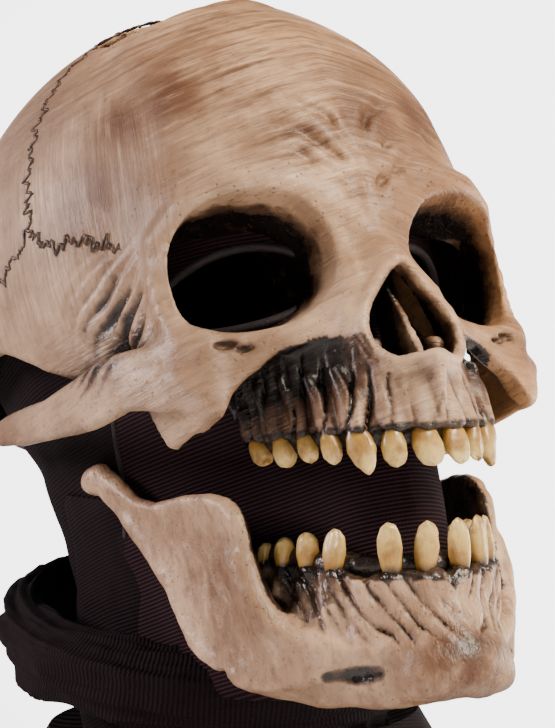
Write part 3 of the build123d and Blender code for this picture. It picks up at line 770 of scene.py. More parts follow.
def zigzag(points, seed, reach=2.3):
    """A wandering joint line on the cranium."""
    line = smooth_line(points, 26)
    rng = np.random.RandomState(seed)
    t = np.arange(len(line))
    swing = reach * (np.sin(t * 0.95 + rng.rand() * 6) * 0.55 + np.sin(t * 0.37 + 1) * 0.5
                     + (rng.rand(len(line)) - 0.5) * 0.9)
    along = np.gradient(line, axis=0)
    out = line - np.array(CENTRE)
    sideways = np.cross(along, out)
    sideways /= np.maximum(np.linalg.norm(sideways, axis=1, keepdims=True), 1e-6)
    moved = line + sideways * swing[:, None]
    q = (moved - np.array(CENTRE)) / np.array(RADII)
    return np.array(CENTRE) + q / np.linalg.norm(q, axis=1, keepdims=True) * np.array(RADII)


SUTURE_LINES = [zigzag(points, 11 + i) for i, points in enumerate(SUTURES)]


def skull_paint(p, normal):
    """Paint, grime and painted-shade weights at each vertex of the skull, with the painted-light side tone.
    """
    a = np.abs(p[:, 0])
    x, y, z = p.T
    open_air = np.clip(skull_field(p + normal * 4.5) / 4.5, 0, 1)
    cavity = np.clip(1.15 - open_air * 1.25, 0, 1)
    above = np.clip((z - 30) / 12, 0, 1)
    outward = p - np.array(CENTRE, np.float32)
    inner = (ball(p, CENTRE, RADII) < -2.2) & (np.einsum("ij,ij->i", outward, normal) < 0)
    brown = np.zeros(len(p))
    for at, size in (((-48, -78, 82), 17), ((-61, -65, 78), 13), ((-23, -90, 86), 20), ((-17, -101, 58), 15),
                     ((8, -100, 62), 16), ((30, -92, 66), 16), ((-4, -103, 35), 9), ((-72, -57, 53), 15),
                     ((-22, -73, 112), 14), ((48, -78, 72), 16), ((62, -86, -12), 10), ((40, -97, 40), 6)):
        brown = np.maximum(brown, np.exp(-(((p - np.array(at)) ** 2).sum(1)) / size ** 2))
    brown = np.maximum(brown, np.clip(frown(p) * 0.9, 0, 0.8))
    brown = np.maximum(brown * 0.95, 0.5 * np.clip((z - 58) / 25, 0, 1) * np.clip((-y - 30) / 50, 0, 1))
    soot_and_shade = np.zeros(len(p))
    orbit = orbit_outline(folded(p))
    # Painted shade: the eye sockets darken with depth behind the face.
    inside_orbit = (orbit < 1.2) & (y < -60) & (FRONT(a, z) - y < -2.2)
    soot_and_shade = np.where(inside_orbit, np.clip((y - FRONT(a, z) - 1.5) / 16, 0.12, 0.75), soot_and_shade)
    wall = level_wall(folded(p), MAXILLA, 0)
    low = (z < lip_edge(a) + 0.8) & (y < -60) & (a < 45) & (np.abs(wall) < 8)
    side = np.clip((a - 13) / 10, 0, 1)
    deep = flutes(p, 0.14, 81) * np.clip((a - 3) / 14, 0.45, 1)
    under = np.clip((z + 40) / 16, 0, 1) * side * 0.75
    soot_and_shade = np.where(low, np.maximum(soot_and_shade, np.maximum(deep * 1.05, under)), soot_and_shade)
    gum = upper_gum_z(y)
    soot_and_shade = np.where(low & (z < gum + 1.6), np.maximum(soot_and_shade, 0.6), soot_and_shade)
    brown = np.where(low, np.maximum(brown, 0.35 + 0.4 * side), brown)
    temple = np.exp(-(((y + 54) / 13) ** 2 + ((z - 7) / 16) ** 2)) * (a > 50)
    wave = 0.5 + 0.5 * wrinkle(p)
    soot_and_shade = np.maximum(soot_and_shade, temple * (0.25 + 0.9 * wave))
    # Painted shade: the inside of the nose hole darkens with depth.
    nose = (polygon(a, z, NOSE_HOLE) < -0.2) & (y > -118)
    soot_and_shade = np.where(nose, np.clip((y + 118) / 14, 0.25, 0.8), soot_and_shade)
    # Painted shade: faces on the inside of the shell get a flat dark value.
    soot_and_shade = np.where(inner, 0.5, soot_and_shade)
    wet = np.clip(np.exp(-(((y + 54) / 20) ** 2 + ((z - 12) / 26) ** 2)) * (a > 50), 0, 1)
    # Painted light: a tone weight that grows toward +x and up, the side and top the key lamp lights.
    key_lit_side = np.clip((x + 45) / 80 + (z - 40) / 160, 0, 1)
    azimuth = np.arctan2(x, -(y - 8.9)) * 95
    side_on = np.clip((a - 50) / 14, 0, 1) * np.clip((z - 5) / 20, 0, 1) * np.clip((96 - z) / 20, 0, 1)
    lie = np.stack([azimuth * 0.035, (z + 0.25 * a) * 0.42, y * 0.05], 1)
    drip = np.stack([azimuth * 0.5, z * 0.03, y * 0.02], 1)
    streaks = above * np.clip(-y / 40, 0.15, 1) * (0.55 + 0.45 * brown)
    streaks = np.maximum(streaks, 0.35)
    pits = np.maximum(np.exp(-(((z - 38) / 14) ** 2)) * (y < -70), 0.5 * (z < 4))
    return {"cavity": cavity * (1 - 0.4 * above), "brown": brown, "soot_and_shade": soot_and_shade, "wet": wet, "key_lit_side": key_lit_side,
            "flow": lie, "drip": drip, "side": side_on, "streaks": streaks, "pits": pits}


STEP = 1.15
skull_p, skull_q, skull_n = field_mesh(skull_field, (-93, -134, -52), (93, 125, 148), STEP)
skull = make_object("skull", skull_p, skull_q, BONE, attributes=skull_paint(skull_p, skull_n))
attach(skull, "skull")
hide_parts("skull_shell")


def tube(name, line, radius, material, sides=8, closed=False):
    """Round bar, open at its ends, along a line; radius is a number or one value per point."""
    line = np.asarray(line, float)
    n = len(line)
    radius = np.broadcast_to(np.asarray(radius, float), (n,))
    if closed:
        along = np.roll(line, -1, 0) - np.roll(line, 1, 0)
    else:
        along = np.gradient(line, axis=0)
    along /= np.linalg.norm(along, axis=1, keepdims=True)
    up = np.array([0.31, 0.52, 0.79])
    across = np.cross(along, up)
    across /= np.linalg.norm(across, axis=1, keepdims=True)
    over = np.cross(across, along)
    angle = np.linspace(0, 2 * np.pi, sides, endpoint=False)
    ring = (np.cos(angle)[None, :, None] * across[:, None] + np.sin(angle)[None, :, None] * over[:, None])
    verts = (line[:, None] + ring * radius[:, None, None]).reshape(-1, 3)
    faces = []
    for i in range(n if closed else n - 1):
        j = (i + 1) % n
        for k in range(sides):
            m = (k + 1) % sides
            faces.append((i * sides + k, i * sides + m, j * sides + m, j * sides + k))
    return make_object(name, verts, faces, material)


def suture_objects():
    """Raised dark joint lines, the same on both sides."""
    n = Nodes("suture_paint")
    grain = n.noise(n.coords, 500.0, 3, 0.6)
    n.set("Base Color", n.mix(n.ramp(grain, 0.35, 0.7), srgb(34, 22, 18), srgb(86, 60, 46)))
    n.set("Roughness", n.ramp(grain, 0.3, 0.7, 0.35, 0.5))
    n.set("Normal", n.bump(grain, 0.0004, 0.6))
    for i, line in enumerate(SUTURE_LINES):
        for side in (1, -1):
            rng = np.random.RandomState(5 + i)
            radius = 0.42 + 0.35 * rng.rand(len(line))
            radius[[0, -1]] = 0.1
            path = line * np.array([side, 1, 1])
            obj = tube(f"suture_{i}_{'r' if side > 0 else 'l'}", path, radius, n.material, 6)
            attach(obj, "skull")


suture_objects()

# ---- latex jaw ------------------------------------------------------------------------
JAW_LEVELS = [
    (-66, [(0, -108), (9, -107), (17, -103), (23.5, -97), (28.5, -88), (32.5, -76), (35.5, -58)]),
    (-86, [(0, -110.5), (8, -109.8), (17, -105.8), (24.5, -99), (30, -88), (34, -75), (37, -58)]),
    (-97, [(0, -110.5), (9, -109), (19, -103), (28, -92), (36, -78), (41.5, -66), (46, -52)]),
    (-108, [(0, -113), (9, -111.2), (18, -103.5), (27, -90), (36, -75), (43, -62), (50, -47)]),
    (-118, [(0, -112), (9, -109.8), (17.5, -101.5), (25, -89), (32, -76), (38, -66), (43, -56)]),
    (-128, [(0, -102.5), (8, -100), (15, -93), (20.5, -85), (25.5, -76), (29.5, -68), (33.5, -59)]),
]
JAW_BORDER = [(-130, -125.9), (-96, -125.6), (-90, -125), (-71, -119.5), (-55, -108), (-41, -98.5),
              (-33, -91), (0, -80)]
RAMUS = [(3.6, -22.7), (-3.4, -23), (-10, -29), (-19, -38), (-29, -43), (-39, -44), (-48, -45), (-57, -47.6),
         (-64, -51.5), (-68, -57), (-69, -63), (-67.2, -70), (-67.2, -77), (-69.5, -84), (-71, -90),
         (-76, -98),
         (-84, -104), (-80, -112), (-66, -111.5), (-55, -107.7), (-41, -98.4), (-33.2, -91), (-28.8, -81),
         (-26.8, -70.5), (-20.5, -58.8), (-14, -47), (-8.4, -37.7), (-2.2, -29.7), (4.5, -26.2)]
RIDGE = [(48, -67, -72), (47.5, -69.5, -82), (44, -72, -92), (40, -76, -98), (33, -84, -103.5),
         (26, -92, -107),
         (18, -100, -109), (10, -107, -111)]
FORAMEN = [(24.0, -95, -114.6), (28.5, -89, -114), (33.5, -82, -112.2)]


def ramus_x(y, z):
    """The side plate leans, and its lower front end turns in to meet the body."""
    turn = 0.019 * np.clip(-y - 61, 0, 26) ** 2 * np.clip((-z - 84) / 14, 0, 1)
    return 62.0 + 0.1637 * y + 0.0722 * z - turn


def roots_down(p):
    """Bulges below the lower teeth, leaning back as they go down."""
    out = None
    for i, (x, y, w, d, h) in enumerate(LOWER_ROW):
        z = lower_gum_z(y)
        drop = (13, 15, 17, 18, 18, 16, 12)[i]
        lean = (0, 1.5, 4, 6, 7, 8, 8)[i]
        out_x = (0.2, 1.0, 2.0, 3.6, 5.5, 6.5, 7.0)[i]
        line = [(x, y + 1.5, z - 0.5), (x + out_x * 0.4, y + 1.4 + lean * 0.35, z - drop * 0.5),
                (x + out_x, y + 2.4 + lean, z - drop)]
        root = chain(p, line, [w * 0.45, w * 0.34, w * 0.18])
        out = root if out is None else smooth_min(out, root, 1.2)
    return out


def jaw_field(p):
    """The lower latex piece."""
    raw = p
    p = folded(p)
    x, y, z = p.T
    wall = level_wall(p, JAW_LEVELS, 0)
    wall = wall + 1.4 * np.clip((z + 112) / 12, 0, 1) * np.clip((x - 4) / 10, 0.5, 1)
    along = np.hypot(x, 0.8 * (y + 110))
    scallop = 1.3 * np.abs(np.sin(along * 0.335 + 0.2))
    missing = np.exp(-((raw[:, 0] + 22.8) ** 2 + (raw[:, 1] + 97.5) ** 2) / 14)
    dent = missing * 3.2 + np.exp(-(x / 1.8) ** 2) * 2.0
    gum = lower_gum_z(y) + scallop - dent
    body = np.maximum(np.maximum(wall, -wall - 6.0), y + 53)
    body = smooth_min(body, np.maximum(roots_down(p), -wall - 4.6), 3.0)
    fade = np.clip((z + 113) / 7, 0, 1) * np.clip((x + 6) / 14, 0.5, 1)
    body = body + 2.0 * fade * flutes(raw, -0.42, 91)
    ridge = chain(p, [(a * 0.985, b + 1.6, c) for a, b, c in RIDGE], [3, 3.1, 3.2, 3.3, 3.4, 3.4, 3, 2.2])
    body = smooth_min(body, ridge, 4)
    chin = ball(p, (0, -104, -116), (17, 10.5, 9.5))
    knob = ball(p, (11, -101, -120.5), (8, 8, 6))
    body = smooth_min(body, np.maximum(smooth_min(chin, knob, 5), -wall - 6.5), 4)
    border = np.interp(y, [b[0] for b in JAW_BORDER], [b[1] for b in JAW_BORDER])
    body = smooth_max(body, np.maximum(z - gum, border - z), 2.4)
    plate = (np.abs(x - ramus_x(y, z)) - 2.3) * 0.97
    plate = smooth_max(plate, polygon(y, z, smooth_line(RAMUS + RAMUS[:1], 2)[:-1]), 2.0)
    rim = chain(p, [(ramus_x(b, c), b - 0.2, c - 1.8) for b, c in RAMUS[1:15]],
                [3.4, 3.0, 2.4, 2.1, 2.0, 2.1, 2.5, 2.8, 2.8, 2.5, 2.3, 2.4, 2.6, 2.8])
    back = chain(p, [(ramus_x(b, c), b - 1.6, c + 0.4) for b, c in RAMUS[20:]],
                 [2.6, 2.6, 2.5, 2.4, 2.4, 2.6, 2.8, 3.0, 3.2])
    plate = smooth_min(smooth_min(plate, rim, 2.5), back, 2.5)
    plate = smooth_min(plate, ball(p, (ramus_x(0, -26), -0.5, -25.6), (5.0, 5.6, 4.2)), 2.5)
    dish = np.exp(-(((y + 48) / 15) ** 2 + ((z + 70) / 18) ** 2))
    plate = plate + dish * 0.5
    jaw = smooth_min(body, plate, 8.0)
    jaw = jaw + 0.4 * lattice_noise(raw, 11, 15) + 0.3 * lattice_noise(raw, 4.5, 16)
    hole = chain(p, FORAMEN, [2.0, 3.0, 1.3])
    return smooth_max(jaw, -hole, 0.8)


def jaw_paint(p, normal):
    """Paint, grime and painted-shade weights at each vertex of the jaw, with the painted-light side tone."""
    a = np.abs(p[:, 0])
    q = folded(p)
    x, y, z = p.T
    open_air = np.clip(jaw_field(p + normal * 4.5) / 4.5, 0, 1)
    cavity = np.clip(1.15 - open_air * 1.25, 0, 1)
    wall = level_wall(q, JAW_LEVELS, 0)
    ridge_z = np.interp(y, [b for _, b, _ in RIDGE][::-1], [c for _, _, c in RIDGE][::-1])
    bowl = (a < ramus_x(y, z) - 3.5) & (z > ridge_z - 1) & (y < -52)
    depth_below = np.clip((lower_gum_z(y) - z) / 24, 0, 1)
    side = np.clip((a - 25) / 8, 0, 1)
    deep = flutes(p, -0.42, 91) * (1 - 0.55 * depth_below) * np.clip((z + 113) / 6, 0, 1)
    soot_and_shade = np.where(bowl & (wall > -3), np.maximum(deep, side * 0.8 * (1 - 0.8 * depth_below)), 0)
    drop = chain(q, FORAMEN, [2.0, 3.0, 1.3])
    soot_and_shade = np.maximum(soot_and_shade, 0.9 * np.exp(-np.clip(drop + 0.6, 0, 9) ** 2 / 1.5))
    soot_and_shade = np.where((z > lower_gum_z(y) - 2.0) & (a < 40) & (wall < 3), np.maximum(soot_and_shade, 0.62), soot_and_shade)
    # Painted shade: the inside of the jaw body is darkened.
    soot_and_shade = np.where(wall < -3.4, np.maximum(soot_and_shade, 0.75 * (a < ramus_x(y, z) - 2.5)), soot_and_shade)
    # Painted shade: ramus faces that turn inward are darkened.
    inner_side = (normal[:, 0] * np.sign(x) < -0.3) & (a > 30) & (z > -100)
    soot_and_shade = np.where(inner_side, np.maximum(soot_and_shade, 0.6), soot_and_shade)
    brown = np.exp(-(((x + 2) / 13) ** 2 + ((z + 115) / 9) ** 2)) * (y < -92) * 1.9
    chin_stain = np.exp(-(((x + 2) / 8) ** 2 + ((z + 112) / 5) ** 2)) * (y < -92)
    soot_and_shade = np.maximum(soot_and_shade, 0.5 * chin_stain)
    brown = np.maximum(brown, 0.8 * np.exp(-(((y + 52) / 14) ** 2 + ((z + 78) / 20) ** 2)))
    # Painted shade: the brown deepens over the lowest 14 mm toward the lower border, where shade falls under
    # the jaw.
    brown = np.maximum(brown, 0.55 * np.clip(1 - (z + 126) / 14, 0, 1))
    lie = np.stack([y * 0.16, z * 0.07, x * 0.2], 1)
    return {"cavity": cavity, "brown": np.clip(brown, 0, 1), "soot_and_shade": soot_and_shade, "wet": np.zeros(len(p)),
            # Painted light: a weak tone weight toward +x, the key-lit side.
            "key_lit_side": np.clip((x + 60) / 120, 0, 1) * 0.35, "flow": lie, "drip": lie, "side": np.zeros(len(p)),
            "streaks": np.full(len(p), 0.5),
            "pits": np.full(len(p), 0.55)}


jaw_p, jaw_q, jaw_n = field_mesh(jaw_field, (-72, -124, -134), (72, 14, -14), STEP)
jaw = make_object("jaw", jaw_p, jaw_q, BONE, attributes=jaw_paint(jaw_p, jaw_n))
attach(jaw, "jaw")
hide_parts("jaw_shell")


# ---- teeth -----------------------------------------------------------------------------
def row_yaw(row, i):
    ahead = row[max(i - 1, 0)]
    behind = row[min(i + 1, len(row) - 1)]
    if i == 0:
        ahead = (-row[0][0], row[0][1])
    return math.atan2(behind[1] - ahead[1], behind[0] - ahead[0])


def tooth(name, at, width, depth, height, yaw, down, lean, kind, seed, body):
    """One crown with its neck sunk in the gum."""
    rng = np.random.RandomState(seed)
    around, up = 32, 22
    v = np.linspace(0, 1, up)
    dz = -3.0 + (height + 3.0) * np.sin(v * np.pi / 2)
    share = np.clip(dz / height, 0, 1)
    wide = np.interp(share, [0, 0.12, 0.45, 0.75, 0.93, 1.0], [0.6, 0.76, 0.98, 0.92, 0.6, 0.02])
    deep = np.interp(share, [0, 0.2, 0.5, 0.85, 0.96, 1.0], [0.86, 0.98, 0.9, 0.58, 0.38, 0.02])
    if kind == "point":
        wide = np.interp(share, [0, 0.12, 0.45, 0.75, 0.93, 1.0], [0.66, 0.84, 1.0, 0.72, 0.36, 0.02])
    if kind == "block":
        deep = np.interp(share, [0, 0.2, 0.5, 0.86, 0.96, 1.0], [0.86, 1.0, 1.0, 0.86, 0.55, 0.02])
    t = np.linspace(0, 2 * np.pi, around, endpoint=False)
    tx = np.sign(np.cos(t)) * np.abs(np.cos(t)) ** 0.85
    ty = np.sign(np.sin(t)) * np.abs(np.sin(t)) ** 0.85
    shape = 0.93 + 0.06 * rng.randn() * np.cos(2 * t) + 0.03 * np.cos(3 * t + rng.rand() * 6)
    px = (width / 2) * wide[:, None] * (tx * shape)[None]
    py = (depth / 2) * deep[:, None] * (ty * shape)[None]
    groove = (0.35 * np.exp(-((px / width * 5 - 0.9) ** 2) * 3)
              + 0.25 * np.exp(-((px / width * 5 + 1.1) ** 2) * 3))
    py = py + groove * (py < 0) * np.clip(share[:, None] * 1.5, 0, 1)
    bow = lean * np.clip(share, 0, 1)[:, None]
    tilt = rng.uniform(-0.07, 0.07)
    px = px + tilt * dz[:, None]
    c, s = math.cos(yaw), math.sin(yaw)
    x = at[0] + px * c - py * s
    y = at[1] + px * s + py * c - bow
    wobble = 0.35 * np.sin(3 * t + rng.rand() * 6)[None] * (share[:, None] > 0.8)
    z = at[2] + (-1 if down else 1) * (dz[:, None] + wobble)
    verts = np.stack([x, y, z + 0 * x], -1).reshape(-1, 3)
    verts += 0.16 * np.stack([lattice_noise(verts, 2.6, seed + k) for k in (1, 2, 3)], 1)
    faces = [(i * around + k, i * around + (k + 1) % around, (i + 1) * around + (k + 1) % around,
              (i + 1) * around + k) for i in range(up - 1) for k in range(around)]
    faces = np.array(faces)
    if down:
        faces = faces[:, ::-1]
    level = np.repeat(dz / height, around)
    obj = make_object(name, verts, faces, TOOTH, attributes={"height": level})
    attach(obj, body)
    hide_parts(name)
    return obj


def teeth():
    for side, letter in ((-1, "r"), (1, "l")):
        for i, (x, y, w, d, h) in enumerate(UPPER_ROW):
            kind = "point" if i == 2 else ("block" if i > 3 else "edge")
            tooth(f"upper_tooth_{letter}{i + 1}", (side * x, y + 1.8, upper_gum_z(y) + 0.6), w, d, h,
                  side * row_yaw(UPPER_ROW, i), True, 1.0, kind, 20 + i + 40 * (side > 0), "skull")
        for i, (x, y, w, d, h) in enumerate(LOWER_ROW):
            if (side, i + 1) in LOWER_MISSING:
                continue
            kind = "point" if i == 2 else ("block" if i > 3 else "edge")
            tooth(f"lower_tooth_{letter}{i + 1}", (side * x, y + 1.8, lower_gum_z(y)), w, d, h,
                  side * row_yaw(LOWER_ROW, i), False, 5.0 - 0.6 * i, kind, 90 + i + 40 * (side > 0), "jaw")


teeth()


# ---- gum strips ------------------------------------------------------------------------------
def gum_field(row, gum_z, up):
    """Lumpy strip behind and between the teeth of one row."""
    def field(p):
        raw = p
        p = folded(p)
        x, y, z = p.T
        line = [(0, row[0][1] + 4.8)] + [(q[0] * 0.95, q[1] + 4.9) for q in row]
        line = [(a, b, gum_z(b) + (-1.2 if up else 1.6)) for a, b in line]
        flat = np.stack([x, y, z * 0.75], 1)
        strip = chain(flat, [(a, b, c * 0.75) for a, b, c in line], [2.9] * len(line))
        return strip + 0.6 * lattice_noise(raw, 3.4, 31)
    return field


for node, row, gum_z, up, body in (("upper_gum", UPPER_ROW, upper_gum_z, True, "skull"),
                                   ("lower_gum", LOWER_ROW, lower_gum_z, False, "jaw")):
    low = -56 if up else -100
    strip_p, strip_q, _ = field_mesh(gum_field(row, gum_z, up), (-46, -126, low), (46, -50, low + 44), 1.3)
    strip = make_object(node + "_strip", strip_p, strip_q, GUM)
    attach(strip, body)
    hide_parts(node)

# ---- stretch hood ---------------------------------------------------------------------------------
HEAD_LEVELS = [
    (32, [(0, -86), (-30, -79), (-48, -66), (-62, -46), (-74, -8), (-76, 24), (-60, 76), (0, 106)]),
    (12, [(0, -88), (-30, -79), (-46, -66), (-58, -46), (-67, -8), (-70, 24), (-57, 70), (0, 100)]),
    (-10, [(0, -96), (-21, -84), (-36, -68), (-48, -46), (-58, -8), (-61, 26), (-50, 64), (0, 92)]),
    (-35, [(0, -98), (-18, -88), (-26, -72), (-35, -52), (-51, -8), (-54, 28), (-46, 62), (0, 86)]),
    (-60, [(0, -98), (-16, -90), (-22, -74), (-29, -54), (-48, -8), (-53, 28), (-45, 60), (0, 84)]),
    (-88, [(0, -96), (-15, -88), (-20, -73), (-27, -54), (-44, -14), (-50, 26), (-41, 58), (0, 84)]),
    (-104, [(0, -89), (-13, -81), (-18, -68), (-25, -50), (-39, -18), (-46, 20), (-37, 52), (0, 82)]),
]
SEAM_LINE = [(-46, 60), (-12, -16), (31.5, -112), (70, -197)]
EYE_X, EYE_Z = 33, 15                     # middle of each eye opening of the hood
EYE_HALF_WIDTH, EYE_HALF_HEIGHT = 22, 13
NECK_TILT = math.radians(19)              # the neck leans back
NECK_TOP = np.array([0, 18.0, -25.0])
NECK_DOWN = np.array([0, math.sin(NECK_TILT), -math.cos(NECK_TILT)])
NECK_HALF_WIDTH, NECK_HALF_DEPTH = 55, 54
NECK_LENGTH = 110
COWL_TILT = math.radians(28)              # the roll hangs lower at the throat
COWL_RING = 72
COWL_Y, COWL_Z = 42, -76
BIB_START, BIB_LENGTH = 84, 78            # along the neck from its top
NECK_ACROSS = np.cross(NECK_DOWN, (1, 0, 0))
RING = 288


def ring_of(half):
    """Closed smooth ring, starting at the front and going round by the right side."""
    pts = list(half) + [(-x, y) for x, y in reversed(half) if x != 0]
    pts = np.array(pts, float)
    n = len(pts)
    t = np.linspace(0, n, RING, endpoint=False)
    i = np.floor(t).astype(int)
    s = (t - i)[:, None]
    a, b, c, d = (pts[(i + k) % n] for k in (-1, 0, 1, 2))
    return 0.5 * (2 * b + (c - a) * s + (2 * a - 5 * b + 4 * c - d) * s ** 2
                  + (3 * b - a - 3 * c + d) * s ** 3)


HEAD_RINGS = [(z, ring_of(half)) for z, half in HEAD_LEVELS]


def head_ring(z):
    """Ring of the covered head at any height."""
    heights = np.array([h for h, _ in HEAD_RINGS])[::-1]
    rings = np.array([r for _, r in HEAD_RINGS])[::-1]
    if z >= 32:
        lift = min((z - 32) / 100, 0.9999)
        grow = math.sqrt(1 - lift ** 2)
        middle = np.array([0, 12.0])
        return middle + (rings[-1] - middle) * grow
    if z <= -104:
        fall = min((-104 - z) / 8, 0.9999)
        grow = math.sqrt(1 - fall ** 2)
        middle = np.array([0, 0.0])
        return middle + (rings[0] - middle) * grow
    i = int(np.clip(np.searchsorted(heights, z) - 1, 0, len(heights) - 2))
    t = (z - heights[i]) / (heights[i + 1] - heights[i])
    t = t * t * (3 - 2 * t) * 0.5 + t * 0.5
    return rings[i] * (1 - t) + rings[i + 1] * t


def grid_faces(rows, columns, closed=True):
    """Quads of a rows by columns grid."""
    faces = []
    for i in range(rows - 1):
        for k in range(columns if closed else columns - 1):
            m = (k + 1) % columns
            faces.append((i * columns + k, i * columns + m, (i + 1) * columns + m, (i + 1) * columns + k))
    return np.array(faces)


def cloth_folds(p, size, height, seed):
    """Creased bumps for a pulled cloth."""
    q = p / np.asarray(size, float)
    value = lattice_noise(q, 1.0, seed)
    return height * (1 - 2 * np.abs(value))


def head_grid():
    heights = np.concatenate([np.linspace(131.9, 40, 26), np.arange(38, -104.1, -1.6),
                              [-106, -108, -110, -111.9]])
    verts = []
    rib = []
    for z in heights:
        ring = head_ring(z)
        verts.append(np.column_stack([ring, np.full(RING, z)]))
        steps = np.linalg.norm(ring - np.roll(ring, 1, 0), axis=1)
        arc = np.cumsum(steps) - steps[0]
        rib.append(arc)
    return np.concatenate(verts), np.concatenate(rib), len(heights)


def seam_y(z):
    return np.interp(z, [q[1] for q in SEAM_LINE][::-1], [q[0] for q in SEAM_LINE][::-1])


def cloth_object(name, verts, faces, rib, keep, material):
    """Cloth made of the faces whose middle passes keep."""
    middle = verts[faces].mean(1)
    faces = faces[keep(middle)]
    used = np.unique(faces)
    number = np.full(len(verts), -1)
    number[used] = np.arange(len(used))
    course = verts[used][:, 2] / 1.3
    return make_object(name, verts[used], number[faces], material,
                       attributes={"rib": rib[used] / 1.15, "course": course})


def everywhere(m):
    return np.ones(len(m), bool)


def in_eye(m):
    """Whether points lie in an eye opening, seen from the front."""
    return ((np.abs(m[:, 0]) - EYE_X) / EYE_HALF_WIDTH) ** 2 + ((m[:, 2] - EYE_Z) / EYE_HALF_HEIGHT) ** 2 < 1


def build_hood():
    verts, rib, rows = head_grid()
    folds = cloth_folds(verts, (16, 26, 34), 1.0, 41) * np.clip((verts[:, 1] + 80) / 50, 0, 1)
    outward = verts.copy()
    outward[:, 2] = 0
    outward /= np.maximum(np.linalg.norm(outward, axis=1, keepdims=True), 1e-6)
    low = np.clip((20 - verts[:, 2]) / 30, 0, 1)
    verts = verts + outward * (folds * low)[:, None]
    faces = grid_faces(rows, RING)
    front = cloth_object("hood_front", verts, faces, rib,
                         lambda m: (m[:, 1] < seam_y(m[:, 2])) & ~(in_eye(m) & (m[:, 1] < -40)), LIT_FACE_JERSEY)
    back = cloth_object("hood_back", verts, faces, rib, lambda m: m[:, 1] >= seam_y(m[:, 2]), JERSEY)
    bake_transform(front)
    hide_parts("hood_face_panel", "hood_mouth_panel", "hood_throat_panel", "hood_chin_panel")
    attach(back, "skull")
    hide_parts("hood_back_panel")


build_hood()


def build_neck():
    """Tube of the hood round the neck, with long soft pulls."""
    rows = 76
    t = np.linspace(0, 2 * np.pi, RING, endpoint=False)
    verts = []
    for i in range(rows):
        d = 2 + NECK_LENGTH * i / (rows - 1)
        flare = 1 + 0.05 * math.exp(-((d - 4) / 14) ** 2)
        ring = (NECK_TOP + NECK_DOWN * d)[None] + (
            np.cos(t)[:, None] * np.array([1, 0, 0]) * NECK_HALF_WIDTH
            + np.sin(t)[:, None] * NECK_ACROSS * NECK_HALF_DEPTH) * flare
        verts.append(ring)
    verts = np.concatenate(verts)
    axis_point = NECK_TOP + ((verts - NECK_TOP) @ NECK_DOWN)[:, None] * NECK_DOWN
    outward = verts - axis_point
    outward /= np.linalg.norm(outward, axis=1, keepdims=True)
    pull = cloth_folds(verts, (15, 15, 42), 1.6, 51) + cloth_folds(verts, (30, 30, 15), 1.0, 52)
    verts = verts + outward * pull[:, None]
    rib = np.tile(t * NECK_HALF_WIDTH, rows)
    obj = cloth_object("hood_neck", verts, grid_faces(rows, RING), rib, everywhere, JERSEY)
    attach(obj, "skull")


build_neck()


def seams_and_bindings():
    """Turned side seams and the elastic round each eye opening."""
    for letter, side in (("r", -1), ("l", 1)):
        line = []
        for z in np.arange(38, -47, -2.0):
            ring = head_ring(z)
            half = ring[ring[:, 0] * side > 1]
            half = half[np.argsort(half[:, 1])]
            y = seam_y(z)
            line.append((np.interp(y, half[:, 1], half[:, 0]) + side * 0.6, y, z))
        rng = np.random.RandomState(3)
        seam = tube(f"side_seam_{letter}", line, 0.9 + 0.15 * rng.rand(len(line)), SEAM, 8)
        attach(seam, "skull")
        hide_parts(f"hood_seam_{letter}")
        ring_line = []
        for angle in np.linspace(0, 2 * np.pi, 96, endpoint=False):
            x = EYE_X + EYE_HALF_WIDTH * math.cos(angle)
            z = EYE_Z + EYE_HALF_HEIGHT * math.sin(angle)
            ring = head_ring(z)
            half = ring[(ring[:, 1] < -10) & (ring[:, 0] > 0)]
            half = half[np.argsort(half[:, 0])]
            ring_line.append((side * x, np.interp(x, half[:, 0], half[:, 1]), z))
        band = tube(f"eye_elastic_{letter}", ring_line, 1.5, ELASTIC, 10, closed=True)
        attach(band, "skull")
        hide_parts(f"eye_binding_{letter}")


seams_and_bindings()


def build_cowl():
    """Loose neck cloth bunched into overlapping rolls."""
    around, across = 420, 96
    t = np.linspace(0, 2 * np.pi, around, endpoint=False)[:, None]
    f = np.linspace(0, 2 * np.pi, across, endpoint=False)[None, :]
    circles = np.broadcast_arrays(np.cos(t), np.sin(t), 3.3 * np.cos(f), 3.3 * np.sin(f))
    flat = np.stack(circles, -1).reshape(-1, 4)
    wander = lattice_noise(flat[:, :3] * 1.7, 1.0, 61).reshape(around, across)
    spiral = np.sin(2 * f + 1.5 * np.sin(t + 0.6) + 2.2 * wander + 2 * t)
    folds = 3.4 * (1 - 2 * np.abs(np.sin(0.5 * (2 * f + 2 * t + 3.2 * wander)))) + 1.4 * spiral
    crease = lattice_noise(flat[:, [0, 1, 3]] * np.array([7, 7, 1.1]), 1.0, 63).reshape(around, across)
    radius = 11.2 + folds * 0.6 + 0.5 * (1 - 2 * np.abs(crease))
    ring = COWL_RING + 1.5 * np.sin(3 * t + 1)
    x = (ring + radius * np.cos(f)) * np.cos(t)
    y = (ring * 0.9 + radius * 0.95 * np.cos(f)) * np.sin(t)
    z = radius * 1.32 * np.sin(f)
    tilted_y = y * math.cos(COWL_TILT) - z * math.sin(COWL_TILT) + COWL_Y
    tilted_z = y * math.sin(COWL_TILT) + z * math.cos(COWL_TILT) + COWL_Z
    verts = np.stack([x + 0 * f, tilted_y, tilted_z], -1).reshape(-1, 3)
    faces = []
    for i in range(around):
        j = (i + 1) % around
        for k in range(across):
            m = (k + 1) % across
            faces.append((i * across + k, j * across + k, j * across + m, i * across + m))
    rib = np.broadcast_to(f * 13, (around, across)).reshape(-1)
    course = np.broadcast_to(t * COWL_RING, (around, across)).reshape(-1)
    obj = make_object("cowl", verts, np.array(faces), JERSEY,
                      attributes={"rib": rib / 1.15, "course": course / 1.5})
    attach(obj, "skull")
    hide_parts("neck_cowl")


build_cowl()


